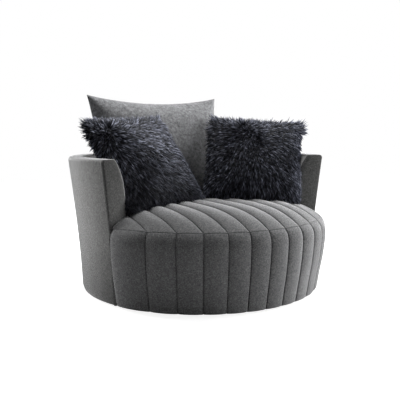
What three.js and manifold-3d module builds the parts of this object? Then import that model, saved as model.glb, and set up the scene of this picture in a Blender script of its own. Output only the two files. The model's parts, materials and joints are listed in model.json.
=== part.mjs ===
// A round swivel cuddle chair: a channelled drum seat inside a wrap-around back, with three loose cushions.
// Millimetres, +Z up. The front faces -Y, and the origin is on the floor on the swivel axis.
// A turn angle is measured on plan from the front, towards +X, so 180 degrees is the middle of the back.
import * as THREE from 'three';
import { mergeVertices } from 'three/addons/utils/BufferGeometryUtils.js';
import Module from 'manifold-3d';

const wasm = await Module();
wasm.setup();

// Clearances
const seatGap = 0.3; // between rigid pieces that rest on each other
const sewGap = 1.2; // beside a curved cover, whose facets cut inside the true circle
const overrun = 5; // how far a cutting tool passes through its work

// The drum seat
const drumRadius = 620; // the stitched seam at the top of the front border
const seamHeight = 371.5;
const crownRise = 79; // the middle of the deck above that seam
const crownPowerShare = 5.28;
const bellyProud = 35; // how far the border's belly reaches outside its seam
// How far out the belly stands at each height, from the foot to the seam
const bellyShares = [[0, -0.29], [0.1, -0.09], [0.25, 0.17], [0.45, 0.52], [0.62, 0.77], [0.76, 0.88],
  [0.88, 0.8], [0.96, 0.45], [1, 0]];
const floorGap = 14; // under the covers
const channelCount = 12;
const channelInset = 50.6; // the outer stitched lines stop this far inside the drum's seam
const channelDepth = 13;
const channelPowerShare = 0.55;
const seamPinchShare = 0.3; // how much of a channel's depth is left at the seam
const deckThick = 29; // at the seam
const deckLip = 5; // the deck's edge laps this far down over the border's top
const borderThick = 13; // the border's padding at the seam
const footDraw = 13; // the border's backing is drawn in by this at its foot

// The wrap-around back and arms
const rimHeight = 672;
const armAngle = 67.4; // degrees from the front to each arm's end face
const wrapInset = 18; // the wrap's foot stands inside the drum's seam
const wrapFlare = 60;
const flarePowerShare = 1.4;
const rimRound = 16;
const rimWidth = 79;
const backInset = 99; // from the drum's seam in to the inside of the back, at the deck
const innerPowerShare = 3.5;
const straightRise = 18; // the inside of the back is upright this far above the seam, then flares
const padTuck = 74; // how far the inside pad reaches below the seam
const coverThick = 9; // fabric and wadding
const facingThick = 15;
const facingRound = 5;

// The wooden frame
const boardThick = 3;
const frontBoardThick = 4;
const boardInset = 11; // the front board stops short of the border's ends and foot
const ringThick = 18;
const frameInset = 20; // from the border's backing in to the frame
const bottomRingWidth = 110;
const seatRingWidth = 160;
const foamRoom = 107; // between the seat ring and the deck
const postSide = 44;
const postInset = 9; // the posts stand in from the frame's edge
const postCount = 5;
const postStep = 25; // degrees between the short posts
const uprightThick = 22;
const uprightDepth = 40;
const uprightFootDepth = 62;
const uprightCount = 7;
const uprightTurn = 3.6; // degrees from each arm's end to its first upright
const topRailWidth = 40;
const topRailThick = 18;

// The suspension and the foam
const strapWidth = 60;
const strapThick = 2;
const strapRise = 1.3; // how far the weave lifts or drops a strap
const longStrapShares = [-0.545, -0.273, 0, 0.273, 0.545]; // of the seat ring's opening
const crossStrapShares = [-0.443, -0.148, 0.148, 0.443];
const strapLap = 40; // the stapled end on the seat ring
const foamSide = 3; // between the foam and the covers beside it

// The plinth and the swivel bearing
const glideHeight = 6;
const glideRadius = 16;
const glideFootShare = 0.8; // a glide's foot is this much of its width
const glideInset = 50; // from the plinth's edge
const glideCount = 6;
const plinthInset = 247; // the plinth stands in from the frame
const plinthThick = 18;
const plinthBore = 30;
const plateSide = 300;
const plateCorner = 25;
const plateThick = 2.5;
const plateSpace = 6.7; // between the two plates
const raceRadius = 105;
const raceLip = 2;
const raceGroove = 7.2;
const ballDiameter = 6.1;
const ballCount = 12;
const cageThick = 1.5;
const cageWidth = 11;
const pivotRadius = 6;
const pivotClear = 0.4;
const pivotHeadRadius = 13;
const pivotHead = 6;
const nutRadius = 11;
const nutHeight = 7;
const fixingInset = 20; // a corner fixing from the plate's edges
const fixingRadius = 2;
const fixingHeadRadius = 4.5;
const fixingHead = 2.2;
const screwLength = 14;
const boltLength = 30;
const fixingClear = 0.3;
const railWidth = 45;
const railHeight = 45;
const railClear = 15; // between a rail's ends and the uprights

// The dust cover
const dustThick = 1.2;
const dustClear = 12; // round the plinth
const dustLap = 9; // the frame's edge outside the dust cover

// The loose cushions are cut to suit the bowl that they stand in, so these are shares of its inner radius
const backWidthShare = 1.45;
const backHeightShare = 1.066;
const backThickShare = 0.434;
const backSagShare = 0.05; // of the top edge between its corners
const backPlaceShares = [-0.165, 0.448]; // where its bottom edge stands
const pillowSideShare = 0.958;
const pillowThickShare = 0.288;
const leftPlaceShares = [-0.468, -0.249];
const rightPlaceShares = [0.44, -0.295];

// A cushion's shape, as shares of its own size
const drawShare = 0.05; // each side is drawn in between its corners
const slumpShare = 0.2; // how much fuller it is in its lower half
const backTaperShare = 0.03; // the back cushion is wider by this at its top and narrower at its bottom
const backFullShare = 0.5;
const pillowFullShare = 0.6;

// How each cushion stands, in degrees
const backPose = { yaw: 0, lean: 12.6, roll: 0 };
const leftPose = { yaw: 18.2, lean: 35.7, roll: 3.5 };
const rightPose = { yaw: -31.7, lean: 36.2, roll: -3.9 };

// Radii and places that follow from the sizes above
const channelPitch = (2 * (drumRadius - channelInset)) / channelCount;
const borderBacking = drumRadius - borderThick;
const frameRadius = borderBacking - frameInset;
const ringOpening = frameRadius - seatRingWidth;
const wrapFoot = drumRadius - wrapInset;
const innerRadius = drumRadius - backInset;
const innerFlare = wrapFoot + wrapFlare - rimWidth - innerRadius;
const plinthRadius = frameRadius - plinthInset;
const glideCircle = plinthRadius - glideInset;
const fixingPlace = plateSide / 2 - fixingInset; // from the axis, along X and Y
const longStrapPlaces = longStrapShares.map((share) => share * ringOpening);
const crossStrapPlaces = crossStrapShares.map((share) => share * ringOpening);

// Heights that follow from the sizes above
const deckBottom = seamHeight - deckThick;
const seatRingTop = deckBottom - foamRoom;
const seatRingBottom = seatRingTop - ringThick;
const plinthTop = glideHeight + plinthThick;
const lowerPlateBottom = plinthTop + seatGap;
const lowerPlateTop = lowerPlateBottom + plateThick;
const upperPlateBottom = lowerPlateTop + plateSpace;
const upperPlateTop = upperPlateBottom + plateThick;
const ballHeight = (lowerPlateTop + upperPlateBottom) / 2;
const railBottom = upperPlateTop + seatGap;
const ringBottom = railBottom - seatGap - ringThick;
const ringTop = ringBottom + ringThick;
const strapMiddle = seatRingTop + seatGap + strapThick / 2;
const foamBottom = strapMiddle + strapRise + strapThick / 2 + seatGap;
const foamTop = deckBottom - seatGap;
const borderTop = seamHeight - deckLip - seatGap;
const drawHeight = (floorGap + borderTop) / 2; // the border's backing is upright above this
const topRailTop = rimHeight - coverThick - seatGap;
const topRailBottom = topRailTop - topRailThick;
const uprightTop = topRailBottom - seatGap;
const padTop = rimHeight - coverThick - seatGap;

// Facet counts
const wrapSteps = 36;
const lowSegments = 10;
const plateSegments = 24;
const discSegments = 48;
const ballSegments = 8;
const cornerSteps = 4;
const rimSteps = 3;
const channelSteps = 4;
const backGrid = [20, 14];
const pillowGrid = [12, 12];
const edgeSamples = 12; // places tested along an edge when a cushion is set down

const group = new THREE.Group();

// Materials
function finish(color, roughness, metalness = 0) {
  return new THREE.MeshStandardMaterial({ color, roughness, metalness });
}

const weave = finish(0x8a8a88, 0.95);
const deckWeave = finish(0x838485, 0.95);
const cushionWeave = finish(0x9a9b9d, 0.95);
const fur = finish(0x2b2c31, 0.9);
const plywood = finish(0xc8a878, 0.7);
const steel = finish(0x9aa0a6, 0.35, 1);
const nylon = finish(0x1c1c1e, 0.6);
const webbing = finish(0x2a2a2c, 0.85);
const foam = finish(0xe8dfb8, 0.95);
const lining = finish(0x161617, 0.95);

// Shared tools
function radians(degrees) {
  return THREE.MathUtils.degToRad(degrees);
}

function onPlan(radius, angle) {
  return [radius * Math.sin(angle), -radius * Math.cos(angle)];
}

function add(name, geometry, material) {
  const mesh = new THREE.Mesh(geometry, material);
  mesh.name = name;
  group.add(mesh);
  return mesh;
}

// A closed mesh from its points and triangles, turned so that its faces point out
function closedMesh(points, triangles) {
  const geometry = new THREE.BufferGeometry();
  geometry.setAttribute('position', new THREE.Float32BufferAttribute(points.flat(), 3));
  const [a, b, c] = [new THREE.Vector3(), new THREE.Vector3(), new THREE.Vector3()];
  let volume = 0;
  for (const [i, j, k] of triangles) {
    volume += a.fromArray(points[i]).dot(b.fromArray(points[j]).cross(c.fromArray(points[k])));
  }
  geometry.setIndex(triangles.flatMap(([i, j, k]) => (volume > 0 ? [i, j, k] : [i, k, j])));
  return geometry;
}

// A closed mesh through a run of like sections, each a ring of points, with its two ends filled
function loft(sections) {
  const size = sections[0].length;
  const last = (sections.length - 1) * size;
  const triangles = [];
  for (let here = 0; here < last; here += size) {
    for (let j = 0; j < size; j += 1) {
      const k = (j + 1) % size;
      triangles.push([here + j, here + k, here + size + k], [here + j, here + size + k, here + size + j]);
    }
  }
  for (const [i, j, k] of fillRing(sections[0])) triangles.push([i, k, j]);
  for (const [i, j, k] of fillRing(sections.at(-1))) triangles.push([last + i, last + j, last + k]);
  return closedMesh(sections.flat(), triangles);
}

// Triangles that fill a flat ring of points, turned the way that the ring runs
function fillRing(ring) {
  const corner = new THREE.Vector3().fromArray(ring[0]);
  const normal = new THREE.Vector3();
  const arm = new THREE.Vector3();
  for (let i = 1; i < ring.length - 1; i += 1) {
    arm.fromArray(ring[i]).sub(corner);
    normal.add(arm.cross(new THREE.Vector3().fromArray(ring[i + 1]).sub(corner)));
  }
  const turn = new THREE.Quaternion().setFromUnitVectors(normal.normalize(), new THREE.Vector3(0, 0, 1));
  const flat = ring.map((p) => new THREE.Vector3().fromArray(p).sub(corner).applyQuaternion(turn));
  return THREE.ShapeUtils.triangulateShape(flat.map((p) => new THREE.Vector2(p.x, p.y)), []);
}

// A section of (radius, height) points carried round the axis between two angles
function sweepRound(sectionAt, from, to, steps) {
  const sections = [];
  for (let i = 0; i <= steps; i += 1) {
    const angle = from + ((to - from) * i) / steps;
    sections.push(sectionAt(angle).map(([radius, z]) => [...onPlan(radius, angle), z]));
  }
  return loft(sections);
}

// A full ring or disc turned from (radius, height) points
function turned(profile, segments) {
  const geometry = new THREE.LatheGeometry(profile.map(([r, z]) => new THREE.Vector2(r, z)), segments);
  geometry.rotateX(Math.PI / 2);
  return facingOut(geometry);
}

function facingOut(geometry) {
  geometry.deleteAttribute('normal');
  geometry.deleteAttribute('uv');
  const merged = mergeVertices(geometry, 1e-4);
  const place = merged.getAttribute('position');
  const points = [];
  for (let i = 0; i < place.count; i += 1) points.push([place.getX(i), place.getY(i), place.getZ(i)]);
  const index = merged.getIndex().array;
  const triangles = [];
  for (let i = 0; i < index.length; i += 3) {
    const [a, b, c] = [index[i], index[i + 1], index[i + 2]];
    if (a !== b && b !== c && a !== c) triangles.push([a, b, c]);
  }
  return closedMesh(points, triangles);
}

function ringProfile(inner, outer, bottom, top) {
  return [[inner, bottom], [outer, bottom], [outer, top], [inner, top], [inner, bottom]];
}

// A flat board cut from an outline on plan, standing from one height to another
function board(outline, holes, bottom, top) {
  const shape = new THREE.Shape(outline.map(([x, y]) => new THREE.Vector2(x, y)));
  for (const hole of holes) shape.holes.push(new THREE.Path(hole.map(([x, y]) => new THREE.Vector2(x, y))));
  const geometry = new THREE.ExtrudeGeometry(shape, { depth: top - bottom, bevelEnabled: false });
  geometry.translate(0, 0, bottom);
  return facingOut(geometry);
}

function circle(radius, segments, x = 0, y = 0) {
  return Array.from({ length: segments }, (_, i) => {
    const angle = (i * 2 * Math.PI) / segments;
    return [x + radius * Math.cos(angle), y + radius * Math.sin(angle)];
  });
}

// Solid joins and cuts
function toSolid(geometry) {
  const clean = geometry.getIndex() ? geometry : mergeVertices(geometry);
  return new wasm.Manifold(new wasm.Mesh({
    numProp: 3,
    vertProperties: new Float32Array(clean.getAttribute('position').array),
    triVerts: new Uint32Array(clean.getIndex().array),
  }));
}

function fromSolid(solid) {
  const mesh = solid.getMesh();
  const geometry = new THREE.BufferGeometry();
  geometry.setAttribute('position', new THREE.BufferAttribute(new Float32Array(mesh.vertProperties), 3));
  geometry.setIndex(new THREE.BufferAttribute(new Uint32Array(mesh.triVerts), 1));
  return geometry;
}

// Curves of the chair
function wrapRadius(z) {
  const share = THREE.MathUtils.clamp((z - floorGap) / (rimHeight - floorGap), 0, 1);
  return wrapFoot + wrapFlare * share ** flarePowerShare;
}

function insideRadius(z) {
  const start = seamHeight + straightRise;
  const share = THREE.MathUtils.clamp((z - start) / (rimHeight - start), 0, 1);
  return innerRadius + innerFlare * share ** innerPowerShare;
}

const bellyCurve = new THREE.SplineCurve(bellyShares.map(([up, out]) => new THREE.Vector2(up, out)));

// How far a flat facet of the wrap lies inside its true circle
function wrapDip() {
  const facet = (2 * Math.PI - 2 * radians(armAngle)) / wrapSteps;
  return wrapRadius(rimHeight) * (1 - Math.cos(facet / 2));
}

function uprightOuter(z) {
  return wrapRadius(z) - coverThick - boardThick - sewGap * 2 - wrapDip();
}

function uprightInner(z) {
  const foot = frameRadius - uprightFootDepth;
  const share = THREE.MathUtils.clamp((z - seatRingTop) / (uprightTop - seatRingTop), 0, 1);
  return foot + (uprightOuter(uprightTop) - uprightDepth - foot) * share;
}

// How full a channel is at a place along X: one in its middle, none at its stitched lines
function channelFullness(x) {
  const share = x / channelPitch - Math.floor(x / channelPitch);
  return (1 - (2 * share - 1) ** 2) ** channelPowerShare;
}

function domeHeight(x, y) {
  const share = Math.min(Math.hypot(x, y) / drumRadius, 1);
  return seamHeight + crownRise * (1 - share ** crownPowerShare);
}

function deckHeight(x, y) {
  const share = Math.min(Math.hypot(x, y) / drumRadius, 1);
  const depth = channelDepth * (1 - (1 - seamPinchShare) * share ** (2 * crownPowerShare));
  return domeHeight(x, y) - depth * (1 - channelFullness(x));
}

// The columns that follow the channels: each has its stitched lines and the places between them
function channelColumns() {
  const columns = [];
  const half = channelCount / 2;
  for (let i = 0; i <= channelCount * channelSteps; i += 1) {
    columns.push((i / channelSteps - half) * channelPitch);
  }
  return columns;
}

// The plan of the seat inside its covers: the front arc between the arm ends, then the arc inside the back
function seatPlan(frontRadius, backRadius, armSide) {
  const outline = [];
  const end = radians(armAngle) - armSide / frontRadius;
  for (let i = 0; i <= discSegments; i += 1) {
    outline.push(onPlan(frontRadius, -end + (2 * end * i) / discSegments));
  }
  const backEnd = radians(armAngle) - armSide / backRadius;
  const sweep = 2 * Math.PI - 2 * backEnd;
  for (let i = 0; i <= discSegments; i += 1) {
    outline.push(onPlan(backRadius, backEnd + (sweep * i) / discSegments));
  }
  return outline;
}

// Plinth and glides
function buildPlinth() {
  const bore = circle(plinthBore, plateSegments).reverse();
  const outline = circle(plinthRadius, discSegments);
  const disc = board(outline, [bore, ...fixingHoles()], glideHeight + seatGap, plinthTop);
  add('plinth_disc', disc, plywood);
  for (let i = 0; i < glideCount; i += 1) {
    const profile = [[0, 0], [glideRadius * glideFootShare, 0], [glideRadius, glideHeight / 3],
      [glideRadius, glideHeight], [0, glideHeight]];
    const glide = turned(profile, lowSegments);
    const [x, y] = onPlan(glideCircle, (i * 2 * Math.PI) / glideCount);
    glide.translate(x, y, 0);
    add(`glide_${i + 1}`, glide, nylon);
  }
}

function cornerPlaces() {
  const sides = [-fixingPlace, fixingPlace];
  return sides.flatMap((x) => sides.map((y) => [x, y]));
}

function fixingHoles() {
  return cornerPlaces().map(([x, y]) => circle(fixingRadius + fixingClear, lowSegments, x, y).reverse());
}

// A pressed plate with its race: two low lips that keep the balls on their circle
function bearingPlate(bottom, top, lipFrom, lipTo) {
  const half = plateSide / 2 - plateCorner;
  const outline = [];
  const corners = [[half, half, 0], [-half, half, 1], [-half, -half, 2], [half, -half, 3]];
  for (const [x, y, quarter] of corners) {
    for (let i = 0; i <= cornerSteps; i += 1) {
      const angle = (quarter + i / cornerSteps) * (Math.PI / 2);
      outline.push([x + plateCorner * Math.cos(angle), y + plateCorner * Math.sin(angle)]);
    }
  }
  const bore = circle(pivotRadius + pivotClear, lowSegments).reverse();
  let plate = toSolid(board(outline, [bore, ...fixingHoles()], bottom, top));
  for (const side of [-1, 1]) {
    const inner = raceRadius + (side * (raceGroove + raceLip)) / 2 - raceLip / 2;
    plate = plate.add(toSolid(turned(ringProfile(inner, inner + raceLip, lipFrom, lipTo), plateSegments)));
  }
  return fromSolid(plate);
}

function buildBearing() {
  const sink = plateThick / 2;
  const lowerLip = [lowerPlateTop - sink, lowerPlateTop + raceLip];
  add('lower_swivel_plate', bearingPlate(lowerPlateBottom, lowerPlateTop, ...lowerLip), steel);
  const upperLip = [upperPlateBottom - raceLip, upperPlateBottom + sink];
  add('upper_swivel_plate', bearingPlate(upperPlateBottom, upperPlateTop, ...upperLip), steel);
  const cageInner = raceRadius - cageWidth / 2;
  const cageBottom = ballHeight - cageThick / 2;
  const cageRing = ringProfile(cageInner, cageInner + cageWidth, cageBottom, cageBottom + cageThick);
  let cage = toSolid(turned(cageRing, plateSegments));
  for (let i = 0; i < ballCount; i += 1) {
    const ball = new THREE.SphereGeometry(ballDiameter / 2, ballSegments, ballSegments / 2);
    const [x, y] = onPlan(raceRadius, (i * 2 * Math.PI) / ballCount);
    ball.rotateX(Math.PI / 2);
    ball.translate(x, y, ballHeight);
    cage = cage.add(toSolid(facingOut(ball)));
  }
  add('ball_cage', fromSolid(cage), steel);
}

// A turned fixing: a round head and a shank, with the head's bearing face at the given height
function fixing({ seat, headSide, length, radius, headRadius, head }) {
  const [headEnd, shankEnd] = [seat + headSide * head, seat - headSide * length];
  return turned([[0, headEnd], [headRadius, headEnd], [headRadius, seat], [radius, seat], [radius, shankEnd],
    [0, shankEnd]], lowSegments);
}

function buildFixings() {
  const small = { radius: fixingRadius, headRadius: fixingHeadRadius, head: fixingHead };
  cornerPlaces().forEach(([x, y], i) => {
    const screw = fixing({ ...small, seat: lowerPlateTop + seatGap, headSide: 1, length: screwLength });
    screw.translate(x, y, 0);
    add(`plinth_screw_${i + 1}`, screw, steel);
    const bolt = fixing({ ...small, seat: upperPlateBottom - seatGap, headSide: -1, length: boltLength });
    bolt.translate(x, y, 0);
    add(`rail_bolt_${i + 1}`, bolt, steel);
  });
  const seat = lowerPlateBottom - seatGap;
  const length = upperPlateTop + nutHeight + seatGap - seat;
  const head = { radius: pivotRadius, headRadius: pivotHeadRadius, head: pivotHead };
  add('pivot_bolt', fixing({ ...head, seat, headSide: -1, length }), steel);
  const nutBottom = upperPlateTop + seatGap;
  const nutBore = circle(pivotRadius + pivotClear, lowSegments).reverse();
  add('pivot_nut', board(circle(nutRadius, 6), [nutBore], nutBottom, nutBottom + nutHeight), steel);
}

// Wooden frame
function buildRings() {
  const bottom = ringProfile(frameRadius - bottomRingWidth, frameRadius, ringBottom, ringTop);
  add('bottom_ring', turned(bottom, discSegments), plywood);
  const profile = ringProfile(frameRadius - seatRingWidth, frameRadius, seatRingBottom, seatRingTop);
  let ring = toSolid(turned(profile, discSegments));
  for (const angle of uprightAngles()) {
    const slot = new THREE.BoxGeometry(
      uprightThick + 2 * seatGap,
      uprightFootDepth + overrun * 2,
      ringThick + overrun,
    );
    const inner = frameRadius - uprightFootDepth - seatGap;
    slot.translate(0, -(inner + uprightFootDepth / 2 + overrun), seatRingBottom + ringThick / 2);
    slot.rotateZ(angle);
    ring = ring.subtract(toSolid(facingOut(slot)));
  }
  add('seat_ring', fromSolid(ring), plywood);
}

function uprightAngles() {
  const from = radians(armAngle + uprightTurn);
  const step = (2 * Math.PI - 2 * from) / (uprightCount - 1);
  return Array.from({ length: uprightCount }, (_, i) => from + step * i);
}

function buildPosts() {
  for (let i = 0; i < postCount; i += 1) {
    const angle = radians((i - (postCount - 1) / 2) * postStep);
    const height = seatRingBottom - ringTop - 2 * seatGap;
    const post = new THREE.BoxGeometry(postSide, postSide, height);
    post.translate(0, -(frameRadius - postInset - postSide / 2), ringTop + seatGap + height / 2);
    post.rotateZ(angle);
    add(`seat_post_${i + 1}`, facingOut(post), plywood);
  }
  uprightAngles().forEach((angle, i) => {
    const bottom = ringTop + seatGap;
    const heights = [0, 0.25, 0.5, 0.75, 1].map((share) => bottom + (uprightTop - bottom) * share);
    const outer = heights.map((z) => [uprightOuter(z), z]);
    const inner = [uprightTop, seatRingTop, bottom].map((z) => [uprightInner(z), z]);
    const section = [...outer, ...inner];
    const sides = [-uprightThick / 2, uprightThick / 2].map((x) => section.map(([r, z]) => [x, -r, z]));
    const upright = loft(sides);
    upright.rotateZ(angle);
    add(`back_upright_${i + 1}`, upright, plywood);
  });
  const railFrom = radians(armAngle) + (facingThick + sewGap) / drumRadius;
  const outer = uprightOuter(topRailTop);
  const section = [[outer - topRailWidth, topRailBottom], [outer, topRailBottom], [outer, topRailTop],
    [outer - topRailWidth, topRailTop]];
  add('top_rail', sweepRound(() => section, railFrom, 2 * Math.PI - railFrom, wrapSteps), plywood);
}

function buildSwivelRails() {
  const outer = fixingPlace + railWidth / 2;
  const reach = Math.sqrt((frameRadius - uprightFootDepth - railClear) ** 2 - outer ** 2);
  for (const [side, sign] of [['left', -1], ['right', 1]]) {
    const middle = sign * fixingPlace;
    const [from, to] = [middle - railWidth / 2, middle + railWidth / 2];
    const outline = [[from, -reach], [to, -reach], [to, reach], [from, reach]];
    const holes = [-fixingPlace, fixingPlace].map((y) => (
      circle(fixingRadius + fixingClear, lowSegments, middle, y).reverse()));
    add(`swivel_rail_${side}`, board(outline, holes, railBottom, railBottom + railHeight), plywood);
  }
}

// Woven webbing: each strap rises over one crossing strap and dips under the next
function strapProfile(reach, span, crossings, firstSign) {
  const line = [[-reach, 0], [-span, 0]];
  crossings.forEach((place, i) => {
    const lift = strapRise * firstSign * (i % 2 === 0 ? 1 : -1);
    const half = strapWidth / 2 + strapThick;
    line.push([place - half, lift], [place + half, lift]);
  });
  line.push([span, 0], [reach, 0]);
  return line;
}

function strap(middle, crossings, firstSign, alongX) {
  const reach = Math.sqrt(ringOpening ** 2 - middle ** 2) + strapLap;
  const span = Math.sqrt(ringOpening ** 2 - (Math.abs(middle) + strapWidth / 2) ** 2) - strapThick;
  const line = strapProfile(reach, span, crossings, firstSign);
  const half = strapThick / 2;
  const under = line.map(([s, lift]) => [s, lift - half]);
  const over = line.map(([s, lift]) => [s, lift + half]);
  const ring = [...under, ...over.reverse()];
  const sides = [middle - strapWidth / 2, middle + strapWidth / 2].map((across) => ring.map(([s, lift]) => (
    alongX ? [s, across, strapMiddle + lift] : [across, s, strapMiddle + lift])));
  return loft(sides);
}

function buildWebbing() {
  longStrapPlaces.forEach((x, i) => {
    add(`long_strap_${i + 1}`, strap(x, crossStrapPlaces, i % 2 === 0 ? 1 : -1, false), webbing);
  });
  crossStrapPlaces.forEach((y, i) => {
    add(`cross_strap_${i + 1}`, strap(y, longStrapPlaces, i % 2 === 0 ? -1 : 1, true), webbing);
  });
}

// Seat: foam, channelled deck and channelled front border
function buildSeat() {
  const foamPlan = seatPlan(frameRadius - foamSide, innerRadius - foamSide, foamSide);
  add('seat_foam', board(foamPlan, [], foamBottom, foamTop), foam);

  const columns = channelColumns();
  const rowShares = [-1, -0.985, -0.95, -0.88, -0.77, -0.6, -0.3, 0.1, 0.5, 0.8, 1];
  const top = columns.map((x) => {
    const reach = Math.sqrt(drumRadius ** 2 - x ** 2);
    return rowShares.map((share) => [x, share * reach, deckHeight(x, share * reach)]);
  });
  const points = top.flat();
  const rows = rowShares.length;
  const triangles = [];
  for (let i = 0; i < columns.length - 1; i += 1) {
    for (let j = 0; j < rows - 1; j += 1) {
      const a = i * rows + j;
      triangles.push([a, a + rows, a + rows + 1], [a, a + rows + 1, a + 1]);
    }
  }
  const rim = [];
  for (let i = 0; i < columns.length; i += 1) rim.push(i * rows);
  for (let j = 1; j < rows; j += 1) rim.push((columns.length - 1) * rows + j);
  for (let i = columns.length - 2; i >= 0; i -= 1) rim.push(i * rows + rows - 1);
  for (let j = rows - 2; j > 0; j -= 1) rim.push(j);
  const base = points.length;
  const foot = rim.map((k) => [points[k][0], points[k][1], deckBottom]);
  points.push(...foot);
  rim.forEach((k, i) => {
    const n = (i + 1) % rim.length;
    triangles.push([k, base + i, base + n], [k, base + n, rim[n]]);
  });
  for (const [i, j, k] of fillRing(foot)) triangles.push([base + i, base + k, base + j]);
  const block = toSolid(closedMesh(points, triangles));
  const core = seatPlan(borderBacking - sewGap, innerRadius - sewGap, sewGap);
  const lip = seatPlan(drumRadius + overrun, innerRadius - sewGap, sewGap);
  const outline = toSolid(board(core, [], deckBottom - overrun, rimHeight));
  const whole = outline.add(toSolid(board(lip, [], seamHeight - deckLip, rimHeight)));
  return add('seat_deck', fromSolid(block.intersect(whole)), deckWeave);
}

function buildBorder() {
  const end = radians(armAngle) - sewGap / drumRadius;
  const edge = Math.sin(end) * drumRadius;
  const columns = channelColumns().filter((x) => Math.abs(x) < edge - channelPitch / channelSteps / 2);
  const places = [-edge, ...columns, edge];
  const heightShares = [0, 0.06, 0.2, 0.4, 0.6, 0.76, 0.88, 0.96, 1];
  const sections = places.map((x) => {
    const angle = Math.asin(x / drumRadius);
    const outer = heightShares.map((share) => {
      const belly = bellyCurve.getPoint(splineShare(share)).y;
      const pinch = channelDepth * (1 - channelFullness(x)) * Math.sqrt(Math.max(belly, seamPinchShare));
      return [drumRadius + bellyProud * belly - pinch, floorGap + (borderTop - floorGap) * share];
    });
    const ring = [...outer, [borderBacking, borderTop], [borderBacking, drawHeight],
      [borderBacking - footDraw, floorGap]];
    return ring.map(([radius, z]) => [...onPlan(radius, angle), z]);
  });
  add('front_border', loft(sections), weave);
}

// The spline's own parameter at a height share
function splineShare(share) {
  let low = 0;
  let high = 1;
  for (let i = 0; i < 30; i += 1) {
    const middle = (low + high) / 2;
    if (bellyCurve.getPoint(middle).x < share) low = middle;
    else high = middle;
  }
  return (low + high) / 2;
}

function buildFrontBoard() {
  const end = radians(armAngle) - boardInset / drumRadius;
  const outer = borderBacking - sewGap;
  const [bottom, top] = [floorGap + boardInset, deckBottom - sewGap];
  const face = [[outer - footDraw, bottom], [outer, drawHeight], [outer, top]];
  const section = [...face, ...face.toReversed().map(([radius, z]) => [radius - frontBoardThick, z])];
  add('front_board', sweepRound(() => section, -end, end, wrapSteps), plywood);
}

// The round between the outside of the wrap and its rim, from just above its lower end
function rimRounding() {
  const top = rimHeight - rimRound;
  const middle = wrapRadius(top) - rimRound;
  return Array.from({ length: rimSteps }, (_, i) => {
    const angle = ((i + 1) / rimSteps) * (Math.PI / 2);
    return [middle + rimRound * Math.cos(angle), top + rimRound * Math.sin(angle)];
  });
}

// Back and arms: outside board and cover, inside pad, and the facing on each arm end
function buildWrap() {
  const end = radians(armAngle) + (facingThick + seatGap) / drumRadius;
  const heightShares = [0, 0.18, 0.36, 0.54, 0.72, 0.88];
  const outerTop = rimHeight - rimRound;
  const heights = heightShares.map((share) => floorGap + (outerTop - floorGap) * share);
  const outer = heights.map((z) => [wrapRadius(z), z]);
  outer.push([wrapRadius(outerTop), outerTop], ...rimRounding());
  const rimInner = insideRadius(rimHeight);
  const lip = coverThick / 2;
  outer.push([rimInner + lip, rimHeight], [rimInner, rimHeight - lip], [rimInner, rimHeight - coverThick]);
  const inner = [[wrapRadius(outerTop) - coverThick, rimHeight - coverThick]];
  for (const z of heights.toReversed()) inner.push([wrapRadius(z) - coverThick, z]);
  const section = [...outer, ...inner];
  add('outside_cover', sweepRound(() => section, end, 2 * Math.PI - end, wrapSteps), weave);

  const boardOuter = (z) => wrapRadius(z) - coverThick - sewGap;
  const boardHeights = [0.04, 0.35, 0.65, 0.93].map((share) => floorGap + (outerTop - floorGap) * share);
  const panel = [...boardHeights.map((z) => [boardOuter(z), z]),
    ...boardHeights.toReversed().map((z) => [boardOuter(z) - boardThick, z])];
  const panelEnd = end + sewGap / drumRadius;
  add('outside_board', sweepRound(() => panel, panelEnd, 2 * Math.PI - panelEnd, wrapSteps), plywood);

  const padFoot = seamHeight - padTuck;
  const padShares = [0, 0.33, 0.58, 0.73, 0.86, 0.94, 1];
  const padHeights = padShares.map((share) => seamHeight + (padTop - seamHeight) * share);
  const face = [padFoot, ...padHeights].map((z) => [insideRadius(z), z]);
  const back = [padTop, seamHeight, padFoot].map((z) => [uprightInner(z) - sewGap, z]);
  const pad = [...face, ...back];
  add('inside_back_pad', sweepRound(() => pad, panelEnd, 2 * Math.PI - panelEnd, wrapSteps), weave);
}

function facingOutline() {
  const outline = [];
  const foot = wrapRadius(floorGap) - coverThick;
  const shoulder = deckBottom + facingRound;
  outline.push([foot, floorGap]);
  for (const share of [0, 0.25, 0.5, 0.75, 1]) {
    const z = floorGap + (rimHeight - rimRound - floorGap) * share;
    outline.push([wrapRadius(z), z]);
  }
  outline.push(...rimRounding());
  for (const share of [1, 0.92, 0.8, 0.64, 0.44, 0.2]) {
    const z = seamHeight + (rimHeight - seamHeight) * share;
    outline.push([insideRadius(z), z]);
  }
  outline.push([innerRadius, shoulder], [foot, shoulder]);
  return outline;
}

function buildFacings() {
  const outline = facingOutline();
  const middle = [(innerRadius + wrapRadius(rimHeight)) / 2, (rimHeight + seamHeight) / 2];
  const inset = ([r, z]) => [
    r + Math.sign(middle[0] - r) * Math.min(facingRound / 3, Math.abs(middle[0] - r)),
    z > seamHeight ? z + Math.sign(middle[1] - z) * Math.min(facingRound / 3, Math.abs(middle[1] - z)) : z];
  const sides = [['right', 1], ['left', -1]];
  for (const [side, sign] of sides) {
    const layers = [[0, outline.map(inset)], [facingRound / 2, outline], [facingThick, outline]];
    const sections = layers.map(([depth, ring]) => {
      const angle = sign * (radians(armAngle) + depth / drumRadius);
      return ring.map(([r, z]) => [...onPlan(r, angle), z]);
    });
    add(`arm_facing_${side}`, loft(sections), weave);
  }
}

function buildDustCover() {
  const top = ringBottom - seatGap;
  const section = ringProfile(plinthRadius + dustClear, frameRadius - dustLap, top - dustThick, top);
  add('dust_cover', turned(section, discSegments), lining);
}

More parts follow.
